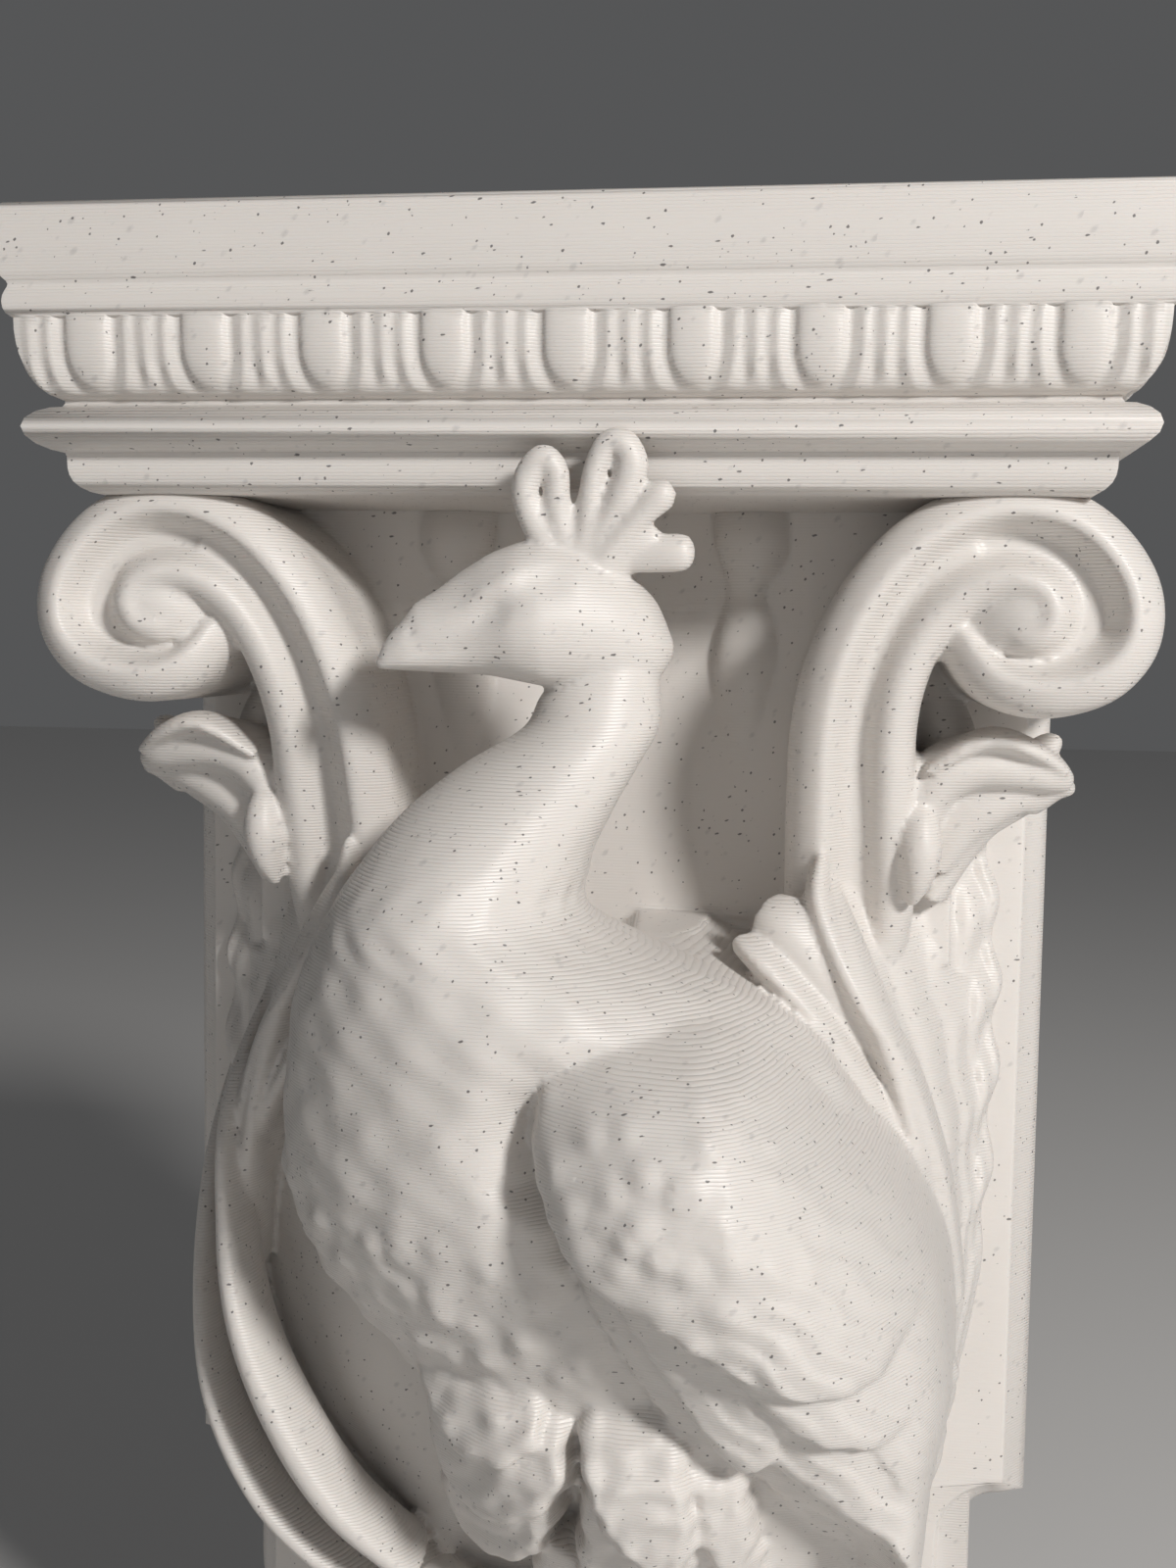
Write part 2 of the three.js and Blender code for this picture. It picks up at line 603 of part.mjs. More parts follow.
// Feathered thighs, belly tufts and the leaf they rest on
const underLimbs = [
  [[-1.8, -24.5, -13, 4, 4], [-1.6, -25, -17.5, 3.9, 4.2], [-0.8, -23.6, -23, 3, 3.6],
    [0.4, -21.2, -28, 1.8, 2.4], [1, -19.6, -32, 1.1, 1.6]],
  [[6, -25.5, -13, 4, 4], [7.2, -25.6, -18, 3.8, 4], [7.2, -23.8, -23.4, 3, 3.6],
    [6.2, -21.2, -28.6, 1.8, 2.4], [5.6, -19.4, -32, 1.1, 1.6]],
  [[-9.5, -14.5, -31.5, 1.2, 2.4], [-4, -17.8, -33.2, 1.9, 2.8], [2.5, -18.4, -33.8, 1.9, 2.8],
    [8, -15.6, -32.8, 1.2, 2.4]],
];

// Leaf cup under the perch: five leaves that narrow to the lower end
const cupLeafCount = 5;

function cupLeaf(i) {
  const swing = (i / (cupLeafCount - 1)) * 2 - 1;
  const deep = 1 - 0.45 * swing * swing;
  return [
    [swing * 12.4, -4 - 13 * deep, -31.4, 0.7, 0.8],
    [swing * 11, -3.6 - 11.4 * deep, -35, 2.6, 1.8],
    [swing * 8.2, -3 - 8.6 * deep, -41, 2.7, 2],
    [swing * 4.8, -2.6 - 6 * deep, -47, 1.8, 1.8],
    [swing * 1.6, -2.4 - 3.4 * deep, -52, 0.8, 1.2],
  ];
}

function sideSolids(side) {
  const band = voluteSolid(side, side < 0 ? stemLean : 0);
  const leaf = { steps: 5, sides: 5, mirror: side };
  const acanthus = acanthusLimbs.map((stations) => limb(offPlate(stations), leaf));
  const lowLeaves = nicheLeaves.map((stations) => limb(stations, leaf));
  return [band, ...voluteEye(side), ...[...acanthus, ...lowLeaves].map(toSolid)];
}

function birdSolids() {
  const pieces = [levelRings(torso, 20, 16, 0), headGeometry(), levelRings(wing, 10, 12, wingSwing)];
  for (const stations of crestPlumes) {
    pieces.push(limb(stations, { steps: 2 * stations.length - 4, sides: 5, unit: birdUnit }));
  }
  for (const stations of underLimbs) pieces.push(limb(stations, { steps: 5, sides: 7, unit: birdUnit }));
  for (let i = 0; i < featherCount; i += 1) {
    pieces.push(limb(wingFeather(i), { steps: 5, sides: 5, unit: birdUnit }));
  }
  for (let i = 0; i < trainCount; i += 1) {
    pieces.push(limb(trainFeather(i), { steps: 4, sides: 6, unit: birdUnit }));
  }
  return pieces.map(toSolid);
}

function allSolids() {
  const solids = [shelfSolid(), plateSolid(), consoleSolid(), nicheSolid(), ...eggBand()];
  solids.push(...sideSolids(-1), ...sideSolids(1), ...birdSolids());
  for (let i = 0; i < cupLeafCount; i += 1) solids.push(toSolid(limb(cupLeaf(i), { steps: 4, sides: 6 })));
  return solids;
}

function corbelGeometry() {
  const whole = allSolids().reduce((sum, solid) => sum.add(solid));
  const mesh = whole.getMesh();
  const geometry = new THREE.BufferGeometry();
  geometry.setAttribute("position", new THREE.Float32BufferAttribute(mesh.vertProperties, 3));
  geometry.setIndex([...mesh.triVerts]);
  return geometry;
}

const plastic = new THREE.MeshStandardMaterial({ color: plasticColour, roughness: 0.45, metalness: 0 });
const corbel = new THREE.Mesh(corbelGeometry(), plastic);
corbel.name = "corbel_shelf";

const group = new THREE.Group();
group.add(corbel);

export default group;
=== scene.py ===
# Corbel shelf with a peacock: a small one-piece print in off-white marble-effect plastic.
# Tables are in millimetres: x to the right, y into the wall, z up. Meshes are in metres.
import math

import bpy
import numpy as np
from mathutils import Matrix, Vector


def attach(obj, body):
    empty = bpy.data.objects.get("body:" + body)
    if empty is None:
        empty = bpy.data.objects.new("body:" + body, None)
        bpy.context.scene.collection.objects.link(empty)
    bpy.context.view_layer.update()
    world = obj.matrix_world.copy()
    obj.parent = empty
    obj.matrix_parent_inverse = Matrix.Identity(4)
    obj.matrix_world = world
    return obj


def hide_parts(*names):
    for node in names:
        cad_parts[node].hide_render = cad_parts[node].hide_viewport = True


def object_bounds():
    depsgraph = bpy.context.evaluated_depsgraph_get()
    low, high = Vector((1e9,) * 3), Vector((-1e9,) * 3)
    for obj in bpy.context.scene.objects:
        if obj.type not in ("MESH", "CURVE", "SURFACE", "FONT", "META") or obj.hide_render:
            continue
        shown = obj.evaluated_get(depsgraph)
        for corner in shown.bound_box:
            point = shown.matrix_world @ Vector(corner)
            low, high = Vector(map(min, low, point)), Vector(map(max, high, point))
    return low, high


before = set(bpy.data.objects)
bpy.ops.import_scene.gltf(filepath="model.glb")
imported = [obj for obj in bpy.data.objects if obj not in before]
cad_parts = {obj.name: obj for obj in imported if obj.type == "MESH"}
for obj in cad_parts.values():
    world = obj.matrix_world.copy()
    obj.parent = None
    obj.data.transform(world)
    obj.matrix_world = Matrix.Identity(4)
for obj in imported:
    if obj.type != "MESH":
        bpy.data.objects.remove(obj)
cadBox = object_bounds()
mm = 0.001
# where the backs of carved pieces and of rolls lie, just in front of the wall
carvedBack, rollBack = -1.2, -1.6


def deselectAll():
    if bpy.context.object and bpy.context.object.mode != "OBJECT":
        bpy.ops.object.mode_set(mode="OBJECT")
    bpy.ops.object.select_all(action="DESELECT")


def makeActive(obj):
    deselectAll()
    obj.select_set(True)
    bpy.context.view_layer.objects.active = obj


def applyModifier(obj, kind, **values):
    makeActive(obj)
    modifier = obj.modifiers.new(kind.lower(), kind)
    for key, value in values.items():
        setattr(modifier, key, value)
    bpy.ops.object.modifier_apply(modifier=modifier.name)


# Smooth run of values through given stations
def smoothRun(stations, t):
    rows = np.array(stations, float)
    last = len(rows) - 1
    place = np.clip(np.atleast_1d(t), 0, 1) * last
    i = np.minimum(place.astype(int), last - 1)
    u = (place - i)[:, None]
    a, b, c, d = rows[np.maximum(i - 1, 0)], rows[i], rows[i + 1], rows[np.minimum(i + 2, last)]
    slopeB, slopeC = (c - a) / 2, (d - b) / 2
    return (b * (2 * u**3 - 3 * u**2 + 1) + slopeB * (u**3 - 2 * u**2 + u)
            + c * (3 * u**2 - 2 * u**3) + slopeC * (u**3 - u**2))


def fade(value, low, high):
    share = np.clip((value - low) / (high - low), 0, 1)
    return share * share * (3 - 2 * share)


# Straight-line reading of a table, key column first
def tableRun(table, key, column=1):
    rows = np.array(sorted(table), float)
    return np.interp(key, rows[:, 0], rows[:, column])


class Shells:
    def __init__(self):
        self.points, self.faces, self.count = [], [], 0

    # Closed body through rings of equal point counts, capped with fans and turned outward
    def addRings(self, rings):
        n, m, _ = rings.shape
        points = np.vstack([rings.reshape(-1, 3), rings[0].mean(axis=0), rings[-1].mean(axis=0)])
        index = np.arange(n * m).reshape(n, m)
        turned = np.roll(index, -1, axis=1)
        a, b, c, d = index[:-1].ravel(), turned[:-1].ravel(), turned[1:].ravel(), index[1:].ravel()
        low = np.full(m, n * m)
        faces = np.vstack([
            np.column_stack([a, b, c]), np.column_stack([a, c, d]),
            np.column_stack([low, turned[0], index[0]]),
            np.column_stack([low + 1, index[-1], turned[-1]]),
        ])
        p, q, r = points[faces[:, 0]], points[faces[:, 1]], points[faces[:, 2]]
        if np.einsum("ij,ij->i", p, np.cross(q, r)).sum() < 0:
            faces = faces[:, ::-1]
        self.points.append(points)
        self.faces.append(faces + self.count)
        self.count += len(points)

    def toObject(self, name):
        mesh = bpy.data.meshes.new(name)
        mesh.from_pydata((np.vstack(self.points) * mm).tolist(), [], np.vstack(self.faces).tolist())
        mesh.validate()
        obj = bpy.data.objects.new(name, mesh)
        bpy.context.scene.collection.objects.link(obj)
        return obj


body = Shells()


# Limb along stations of x, y, z, half width, half depth; crest above 1 sharpens its ridge
def addLimb(stations, steps, sides, mirror=1, crest=1.0, relief=None):
    t = np.linspace(0, 1, steps + 1)
    rows = smoothRun(stations, t)
    ahead = smoothRun(stations, np.minimum(t + 0.01, 1))[:, :3]
    behind = smoothRun(stations, np.maximum(t - 0.01, 0))[:, :3]
    tangent = ahead - behind
    tangent /= np.linalg.norm(tangent, axis=1)[:, None]
    across = np.column_stack([tangent[:, 2], np.zeros(len(t)), -tangent[:, 0]])
    across /= np.maximum(np.linalg.norm(across, axis=1), 1e-6)[:, None]
    outward = np.cross(tangent, across)
    angle = np.linspace(0, 2 * math.pi, sides, endpoint=False)
    wide = np.cos(angle)
    deep = np.sign(np.sin(angle)) * np.abs(np.sin(angle)) ** crest
    rings = (rows[:, None, :3] + across[:, None, :] * (rows[:, 3, None] * wide)[:, :, None]
             + outward[:, None, :] * (rows[:, 4, None] * deep)[:, :, None])
    if relief is not None:
        lift = relief(t[:, None], wide[None, :], angle[None, :])
        rings = rings + outward[:, None, :] * lift[:, :, None]
    rings[:, :, 0] *= mirror
    body.addRings(rings)


# Vein along the front of a leaf
def veinRelief(depth, width):
    def relief(t, wide, angle):
        return -depth * np.exp(-((wide / width) ** 2)) * (np.sin(angle) > 0) * np.sin(math.pi * t)

    return relief


shelf = {"lowHalf": 30.0, "lowDepth": 20.5, "underside": 40.0}


# Outward reach and height of the moulding, from the underside up
def mouldingLine():
    line = [(0, shelf["underside"]), (0.5, 40.12), (0.95, 40.36), (1.28, 40.7), (1.46, 41.1),
            (1.53, 41.5), (1.56, 42.2), (1.64, 42.42)]
    for i in range(9):
        angle = math.pi * i / 8
        reach = math.sin(angle) ** 1.25
        line.append((1.74 + 1.86 * reach, 42.45 + 2.75 * (1 - math.cos(angle)) / 2))
    line += [(1.62, 45.4), (1.6, 45.75)]
    for i in range(9):
        angle = math.pi * i / 16
        line.append((1.6 + 1.5 * math.sin(angle), 46.0 + 4.2 * (1 - math.cos(angle))))
    line += [(3.95, 50.3), (4.18, 50.46), (4.32, 50.78), (4.36, 51.15), (4.32, 51.5), (4.22, 51.8),
             (4.12, 52.02), (4.08, 52.2), (4.14, 52.36), (4.28, 52.5), (4.42, 52.66), (4.5, 52.92),
             (4.5, 56.62), (4.42, 56.84), (4.22, 57)]
    return line


def makeShelf():
    line = mouldingLine()
    deselectAll()
    half, deep = shelf["lowHalf"] * mm, shelf["lowDepth"] * mm
    bpy.ops.mesh.primitive_plane_add(size=1, location=(0, -deep / 2, shelf["underside"] * mm))
    slab = bpy.context.object
    slab.name = "slab"
    bpy.ops.transform.resize(value=(2 * half, deep, 1))
    bpy.ops.object.transform_apply(location=True, rotation=True, scale=True)
    bpy.ops.object.mode_set(mode="EDIT")
    bpy.ops.mesh.select_mode(type="FACE")
    bpy.ops.mesh.select_all(action="SELECT")
    reach, height = line[0]
    for out, z in line[1:]:
        bpy.ops.mesh.extrude_region_move(TRANSFORM_OT_translate={"value": (0, 0, (z - height) * mm)})
        growX = (shelf["lowHalf"] + out) / (shelf["lowHalf"] + reach)
        growY = (shelf["lowDepth"] + out) / (shelf["lowDepth"] + reach)
        bpy.ops.transform.resize(value=(growX, growY, 1), center_override=(0, 0, z * mm))
        reach, height = out, z
    bpy.ops.mesh.select_all(action="SELECT")
    bpy.ops.mesh.normals_make_consistent(inside=False)
    bpy.ops.object.mode_set(mode="OBJECT")
    return slab


# Eggs, the shells round them and the darts, in low relief on the quarter-round moulding
band = {
    "pitch": 7.3, "low": 45.7, "high": 50.4, "reachLow": 1.7, "reachHigh": 3.86,
    "eggHalf": 1.4, "eggRise": 0.32, "moatFall": 0.14, "shellAt": 1.75, "shellRise": 0.15,
    "dartRise": 0.18, "pitFall": 0.16,
}


def bandHeight(along, level):
    s = (along + band["pitch"] / 2) % band["pitch"] - band["pitch"] / 2
    v = (level - band["low"]) / (band["high"] - band["low"])
    under = np.clip(0.56 - v, 0, 1) * 4.25 / 2.05
    rho = np.sqrt((s / band["eggHalf"]) ** 2 + under**2)
    egg = band["eggRise"] * np.sqrt(np.clip(1 - rho**2.6, 0, 1))
    moat = -band["moatFall"] * np.exp(-(((rho - 1.2) / 0.2) ** 2))
    shell = band["shellRise"] * np.exp(-(((rho - band["shellAt"]) / 0.22) ** 2))
    fromDart = np.abs(np.abs(s) - band["pitch"] / 2)
    dart = band["dartRise"] * np.exp(-((fromDart / (0.26 + 0.2 * v)) ** 2)) * fade(v, 0.08, 0.3)
    pit = -band["pitFall"] * np.exp(-(((fromDart - 0.66) / 0.32) ** 2) - (((v - 0.24) / 0.16) ** 2))
    return (egg + moat + shell + dart + pit) * fade(v, -0.02, 0.1)


def makeBand():
    step = 0.14
    levels = np.linspace(band["low"] - 0.1, band["high"] + 0.1, 36)
    rings = []
    for z in levels:
        v = min(max((z - band["low"]) / (band["high"] - band["low"]), 0), 1)
        out = band["reachLow"] + (band["reachHigh"] - band["reachLow"]) * math.sqrt(1 - (1 - v) ** 2.2)
        half, deep = shelf["lowHalf"] + out, shelf["lowDepth"] + out
        count = int(half / step)
        frontX = np.linspace(-half, half, 2 * count + 1)
        sideY = np.linspace(0, -deep, int(deep / step))[:-1]
        lift = bandHeight(frontX, z) * fade(half - np.abs(frontX), -0.1, 0.5)
        front = np.column_stack([frontX, -deep - lift, np.full(len(frontX), z)])
        liftSide = bandHeight(sideY + 4.0, z) * fade(deep + sideY, -0.1, 0.5)
        left = np.column_stack([-half - liftSide, sideY, np.full(len(sideY), z)])
        right = np.column_stack([half + liftSide, sideY, np.full(len(sideY), z)])[::-1]
        rings.append(np.vstack([left, front, right]))
    # every level gets the same number of points
    total = min(len(ring) for ring in rings)
    even = []
    for ring in rings:
        run = np.concatenate([[0], np.cumsum(np.linalg.norm(np.diff(ring, axis=0), axis=1))])
        places = np.linspace(0, run[-1], total)
        even.append(np.column_stack([np.interp(places, run, ring[:, k]) for k in range(3)]))
    shells = Shells()
    shells.addRings(np.array(even))
    return shells


plate = {
    "half": 28.9, "top": 41.0, "notchZ": -32.4, "notchR": 4.6, "roundZ": -38.6, "roundDrop": 16.6,
    # y, and how far the outline grows there
    "edge": [(0, 1.8), (-0.8, 1.8), (-1.5, 1.3), (-2.4, 0.55), (-2.9, 0.2), (-3.12, 0.08), (-3.2, -0.08)],
}


def makePlate():
    rings = []
    for y, grow in plate["edge"]:
        half, notch = plate["half"] + grow, plate["notchR"] - grow
        right = [(half, plate["top"])]
        right += [(half, z) for z in np.linspace(36, plate["notchZ"] + notch + 0.5, 12)]
        for i in range(13):
            angle = math.pi / 2 + math.pi / 2 * i / 12
            right.append((plate["half"] + notch * math.cos(angle),
                          plate["notchZ"] + notch * math.sin(angle)))
        lower = plate["half"] - plate["notchR"] + grow
        for i in range(28):
            angle = math.pi / 2 * i / 28
            right.append((lower * math.cos(angle),
                          plate["roundZ"] - (plate["roundDrop"] + grow) * math.sin(angle)))
        lowest = (0, plate["roundZ"] - plate["roundDrop"] - grow)
        outline = right + [lowest] + [(-x, z) for x, z in reversed(right)]
        rings.append([(x, y, z) for x, z in outline])
    shells = Shells()
    shells.addRings(np.array(rings))
    return shells


# half width and depth of the carved ground at heights z, and of the niche above it
ground = {
    "span": [
        (14, 26.6), (6, 26.6), (-4, 26.4), (-13, 25.6), (-18, 24.3), (-22, 22.4), (-27, 18.8), (-31, 14),
        (-35, 11), (-41, 9), (-47, 6.4), (-51, 4),
    ],
    "depth": [
        (14, 12), (6, 15), (-4, 16.5), (-16, 17), (-24, 16.5), (-31, 14.5), (-38, 11.5), (-46, 8),
        (-51, 5.5),
    ],
    "edge": 3.6, "nicheHalf": 23.9, "nicheDepth": 5.5,
}


def reliefBody(levels, columns, halfAt, depthAt):
    rings = []
    for z in levels:
        half = halfAt(z)
        x = half * np.cos(np.linspace(0, math.pi, columns + 1))
        front = np.column_stack([x, -depthAt(x, z, half), np.full(len(x), z)])
        rings.append(np.vstack([[[half, carvedBack, z]], front, [[-half, carvedBack, z]]]))
    body.addRings(np.array(rings))


def makeGround():
    def consoleDepth(x, z, half):
        share = np.clip(np.abs(x) / half, 0, 1)
        edge = ground["edge"]
        return edge + (tableRun(ground["depth"], z) - edge) * (1 - share**3) ** 0.75

    reliefBody(np.linspace(9, -51, 140), 120, lambda z: tableRun(ground["span"], z), consoleDepth)

    def nicheDepth(x, z, half):
        share = np.clip(np.abs(x) / 13.8, 0, 1)
        return ground["nicheDepth"] + 2.5 * share**2

    reliefBody(np.linspace(10, 40.6, 40), 80, lambda z: ground["nicheHalf"], nicheDepth)


volute = {
    # inner edge of the stem, which becomes the outer ring of the curl: x, z, depth of its crest, half width
    "ring": [
        (14.6, 6, 10.8, 2.2), (15, 10.5, 12.8, 2.2), (15.1, 14.6, 14.6, 2.2), (15.1, 18.2, 16, 2.2),
        (15.1, 22, 17.2, 2.15), (15.2, 25.6, 18.4, 2.1), (15.7, 28.8, 19.4, 2.05),
        (16.7, 31.8, 20.1, 2), (18.1, 34.4, 20.6, 1.95), (20, 36.7, 20.9, 1.9), (22.2, 38.3, 21, 1.85),
        (24.7, 39.2, 21, 1.8), (27.3, 39.25, 21, 1.8), (29.8, 38.4, 21, 1.8), (31.8, 36.6, 21, 1.85),
        (33, 34.3, 21, 1.9), (33, 31.9, 21, 1.9), (31.7, 30.1, 21, 1.95), (29.8, 29.2, 20.9, 1.95),
        (27.6, 28.9, 20.8, 1.9), (25.5, 29.5, 20.5, 1.85), (24.1, 30.9, 19.9, 1.75),
        (23.3, 32.6, 18.9, 1.5), (23.2, 34, 17.6, 1.1),
    ],
    # outer edge of the stem, which rolls over into the eye
    "eye": [
        (18, 6, 9.6, 2), (18.8, 10.5, 11.6, 2), (19.3, 14.6, 13.4, 2), (19.2, 18.2, 15, 2),
        (19.1, 22, 16.4, 2), (19, 25.6, 17.8, 1.95), (19.4, 28.8, 18.9, 1.95),
        (20.5, 31.7, 19.7, 1.9), (22.1, 33.9, 20.3, 1.85), (24.1, 35.2, 20.7, 1.75),
        (26.2, 35.5, 20.9, 1.7), (28, 34.8, 21, 1.7), (28.7, 33.3, 21, 1.7), (28, 32, 20.8, 1.7),
        (26.6, 31.8, 20.5, 1.6), (26, 32.7, 20.1, 1.3), (26.6, 33.4, 19, 0.8),
    ],
    "ridge": 2.5, "channelDepth": 2.1, "face": 21, "middle": (28.3, 33.6), "floorRadius": 5.2,
    "eyeMiddle": (26.7, 33.3), "eyeFace": 20.55,
}
# profiles across a roll, from its left edge to its right edge
rollAcross = [-1, -0.92, -0.78, -0.55, -0.3, -0.05, 0.15, 0.35, 0.6, 0.8, 0.93, 1]
ringHeights = [0.0, 0.34, 0.56, 0.76, 0.9, 1.0, 0.98, 0.8, 0.44, 0.18, 0.05, 0]
eyeHeights = [0.0, 0.08, 0.26, 0.54, 0.82, 0.97, 1.0, 0.96, 0.84, 0.66, 0.4, 0]


# Band along a path, with a profile across it and straight walls down to the back
def makeRoll(side, stations, heights, rise):
    t = np.linspace(0, 1, 200)
    rows = smoothRun(stations, t)
    run = smoothRun(stations, np.minimum(t + 0.004, 1)) - smoothRun(stations, np.maximum(t - 0.004, 0))
    length = np.hypot(run[:, 0], run[:, 1])
    acrossX, acrossZ = run[:, 1] / length, -run[:, 0] / length
    s = np.linspace(-1, 1, 33)
    height = np.interp(s, rollAcross, heights)
    rings = []
    for (x, z, face, half), ax, az in zip(rows, acrossX, acrossZ):
        front = np.column_stack([x + ax * half * s, rise * (1 - height) - face, z + az * half * s])
        low = [[x + ax * half, rollBack, z + az * half]]
        high = [[x - ax * half, rollBack, z - az * half]]
        rings.append(np.vstack([high, front, low]))
    rings = np.array(rings)
    rings[:, :, 0] *= side
    body.addRings(rings)


def makeVolute(side, lean):
    def leaning(stations):
        return [(x - lean * min(1, max(0, (30 - z) / 12)), z, face, half) for x, z, face, half in stations]

    ring, eye = leaning(volute["ring"]), leaning(volute["eye"])
    makeRoll(side, ring, ringHeights, volute["ridge"])
    makeRoll(side, eye, eyeHeights, volute["ridge"])
    channel = [((a[0] + b[0]) / 2, (a[1] + b[1]) / 2, (a[2] + b[2]) / 2 - volute["channelDepth"] + 0.35, 1.9)
               for a, b in zip(ring[:11], eye[:11])]
    makeRoll(side, channel, np.ones(len(rollAcross)), 0)
    cx, cz = volute["middle"]
    angle = np.linspace(0, 2 * math.pi, 72, endpoint=False)
    floor, wide = volute["face"] - volute["channelDepth"], volute["floorRadius"]
    rings = [np.column_stack([side * (cx + r * np.cos(angle)), np.full(72, y), cz + r * np.sin(angle)])
             for r, y in ((0.1, -floor), (2.5, -floor), (wide, -floor), (wide, rollBack))]
    body.addRings(np.array(rings))
    # the eye is closed and falls gently towards the stem
    ex, ez = volute["eyeMiddle"]
    rings = []
    for r in (0.05, 0.8, 1.6, 2.3, 2.7):
        height = volute["eyeFace"] - 0.12 * r * r + 0.22 * r * np.cos(angle)
        z = ez + 0.9 * r * np.sin(angle)
        rings.append(np.column_stack([side * (ex + r * np.cos(angle)), -height, z]))
    rings.append(np.column_stack([side * (ex + r * np.cos(angle)), np.full(72, rollBack),
                                  ez + 2.4 * np.sin(angle)]))
    body.addRings(np.array(rings))


# x, distance out of the plate, z, half width, half depth
acanthus = {
    "outerRib": [
        [27, 0.4, 1, 0.3, 0.5], [27, 4.6, -6, 0.9, 2], [26.6, 7.4, -13.5, 1, 2.6],
        [25.2, 9.2, -20.5, 1.15, 2.8], [22, 10, -26.4, 1.25, 3], [18, 10.2, -30.4, 1.3, 3],
        [13, 9.4, -33.8, 1.2, 3],
    ],
    "secondRib": [
        [22.4, 3, 9, 0.3, 0.8], [23.6, 9.4, 0, 1, 3], [23.2, 11.6, -8, 1.2, 3], [21.6, 13.2, -14.5, 1.5, 3],
        [18.6, 13.8, -20.6, 1.75, 3], [15, 13.8, -25.6, 1.7, 3], [10.6, 12.4, -30, 1.4, 3],
    ],
    "innerRib": [
        [15.4, 9.6, 17, 0.5, 1.4], [17.4, 12.6, 11.4, 1.2, 3], [20.2, 11.8, 4.6, 1.2, 3],
        [22.2, 9.8, -3.4, 1.1, 3], [23.2, 7.2, -12, 0.8, 3],
    ],
    "curledLeaf": [
        [21.2, 6.2, 16.5, 1.3, 3], [21.4, 8, 20.6, 1.7, 3.2], [22.6, 9.2, 23, 1.9, 3],
        [24.8, 9.6, 24, 1.9, 2.6], [27.2, 9.4, 23.9, 1.75, 2.2], [29.2, 8.9, 23.4, 1.4, 1.8],
        [30.6, 8.2, 22.7, 0.7, 0.9],
    ],
    "leafCrest": [
        [22.2, 10.4, 23.8, 0.6, 2.4], [24.4, 11.2, 25.2, 0.75, 2.4], [26.2, 11.2, 25.5, 0.8, 2.2],
        [28.4, 10.4, 24.7, 0.7, 1.8], [30.2, 9.6, 23.6, 0.45, 1],
    ],
    "leafKnobOne": [[27.6, 7, 22.6, 1.4, 2.6], [28.9, 7.4, 24.4, 1.1, 2.2], [29.9, 7, 25.4, 0.6, 1.2]],
    "leafKnobTwo": [[28.4, 6.6, 21.6, 1.3, 2.4], [30, 7, 22.4, 1, 1.9], [31, 6.6, 22.2, 0.4, 0.8]],
    "leafUnder": [
        [22.4, 5, 15, 1.2, 2.4], [23.8, 5.6, 18, 1.5, 2.4], [25.4, 6.4, 20, 1.4, 2.2],
        [27.4, 6.8, 21.2, 1.2, 1.8], [29.4, 6.4, 22, 0.8, 1.2],
    ],
    "stalk": [
        [21.6, 2.8, 31, 1.6, 3], [22.4, 3.8, 27.5, 1.9, 3.2], [23.4, 4.6, 24.4, 2, 3.4],
        [23.6, 4.6, 20.6, 1.6, 3],
    ],
    "bud": [
        [21.3, 10.2, 21.2, 0.5, 0.8], [21.4, 11, 20, 1.15, 1.6], [21.4, 11.2, 18.4, 1.4, 1.8],
        [21.3, 10.8, 16.8, 1.1, 1.5], [21, 9.8, 15.2, 0.5, 1],
    ],
    "leafWeb": [
        [22.6, 6.4, 17.4, 1.4, 2.4], [23.8, 7.4, 20.2, 2.1, 2.4], [25.8, 7.9, 21.9, 2.2, 2.2],
        [28, 7.8, 22.4, 1.7, 1.8], [29.8, 7.2, 22.5, 0.9, 1.1],
    ],
    "tongueOuter": [
        [15.2, 11.6, 17.5, 0.5, 1.6], [15.3, 13.4, 14.8, 0.95, 2], [17.6, 13.6, 9.9, 1.05, 2.6],
        [20.6, 11.6, 5, 1, 2.8], [22.8, 9.6, -0.9, 0.9, 2.8], [23.9, 8.2, -5.5, 0.8, 2.6],
        [24.8, 7, -11, 0.6, 2.4],
    ],
    "tongueInner": [
        [10.7, 14, 12.6, 0.9, 1.6], [12.2, 15, 11.4, 1.05, 2.2], [15.3, 14.2, 8.2, 1, 2.6],
        [18, 12.6, 4.4, 1, 2.8], [20.6, 10.8, 0.2, 0.9, 2.8], [22.4, 9, -3.8, 0.6, 2.4],
    ],
    "tongueWeb": [
        [11.8, 12.8, 14, 1.5, 1.6], [13.4, 13.4, 13.2, 2.2, 2.2], [16.4, 12.6, 9.4, 1.8, 2.6],
        [18.6, 10.6, 5.2, 1.7, 2.8], [21, 9, -0.6, 1.3, 2.8], [23, 7.4, -7, 0.8, 2.4],
    ],
}
# flutes that run down from the fringe: left and right edges of the fan, then four depths across it
fan = {
    "left": [
        (15.8, 18.5), (17, 12.5), (19.6, 6.4), (22.2, 0), (23.4, -6), (23.4, -12), (21.8, -18.5),
        (18.2, -23.5), (14, -27.4), (10, -30),
    ],
    "right": [
        (26.4, 19), (27.2, 14), (27.7, 8), (27.8, 2), (27.6, -5), (26.9, -12), (25, -19), (21.8, -26),
        (17.4, -30.6), (12, -33.6),
    ],
    "depth": [
        (13, 8.4, 5.4, 4.1), (14.4, 9.8, 6, 4.1), (14, 9.8, 6.2, 4.2), (12.8, 9.2, 6.2, 4.3),
        (11.6, 8.8, 6.4, 4.6), (11.6, 10, 8, 6), (13, 12.6, 11, 8), (13.6, 13.4, 12, 9), (13.6, 13, 12, 9),
        (13, 12.6, 11, 9),
    ],
    "flutes": 4.0, "rise": 0.95, "lobes": 9.4, "lobeStart": 0.1, "lobeReach": 0.7,
}
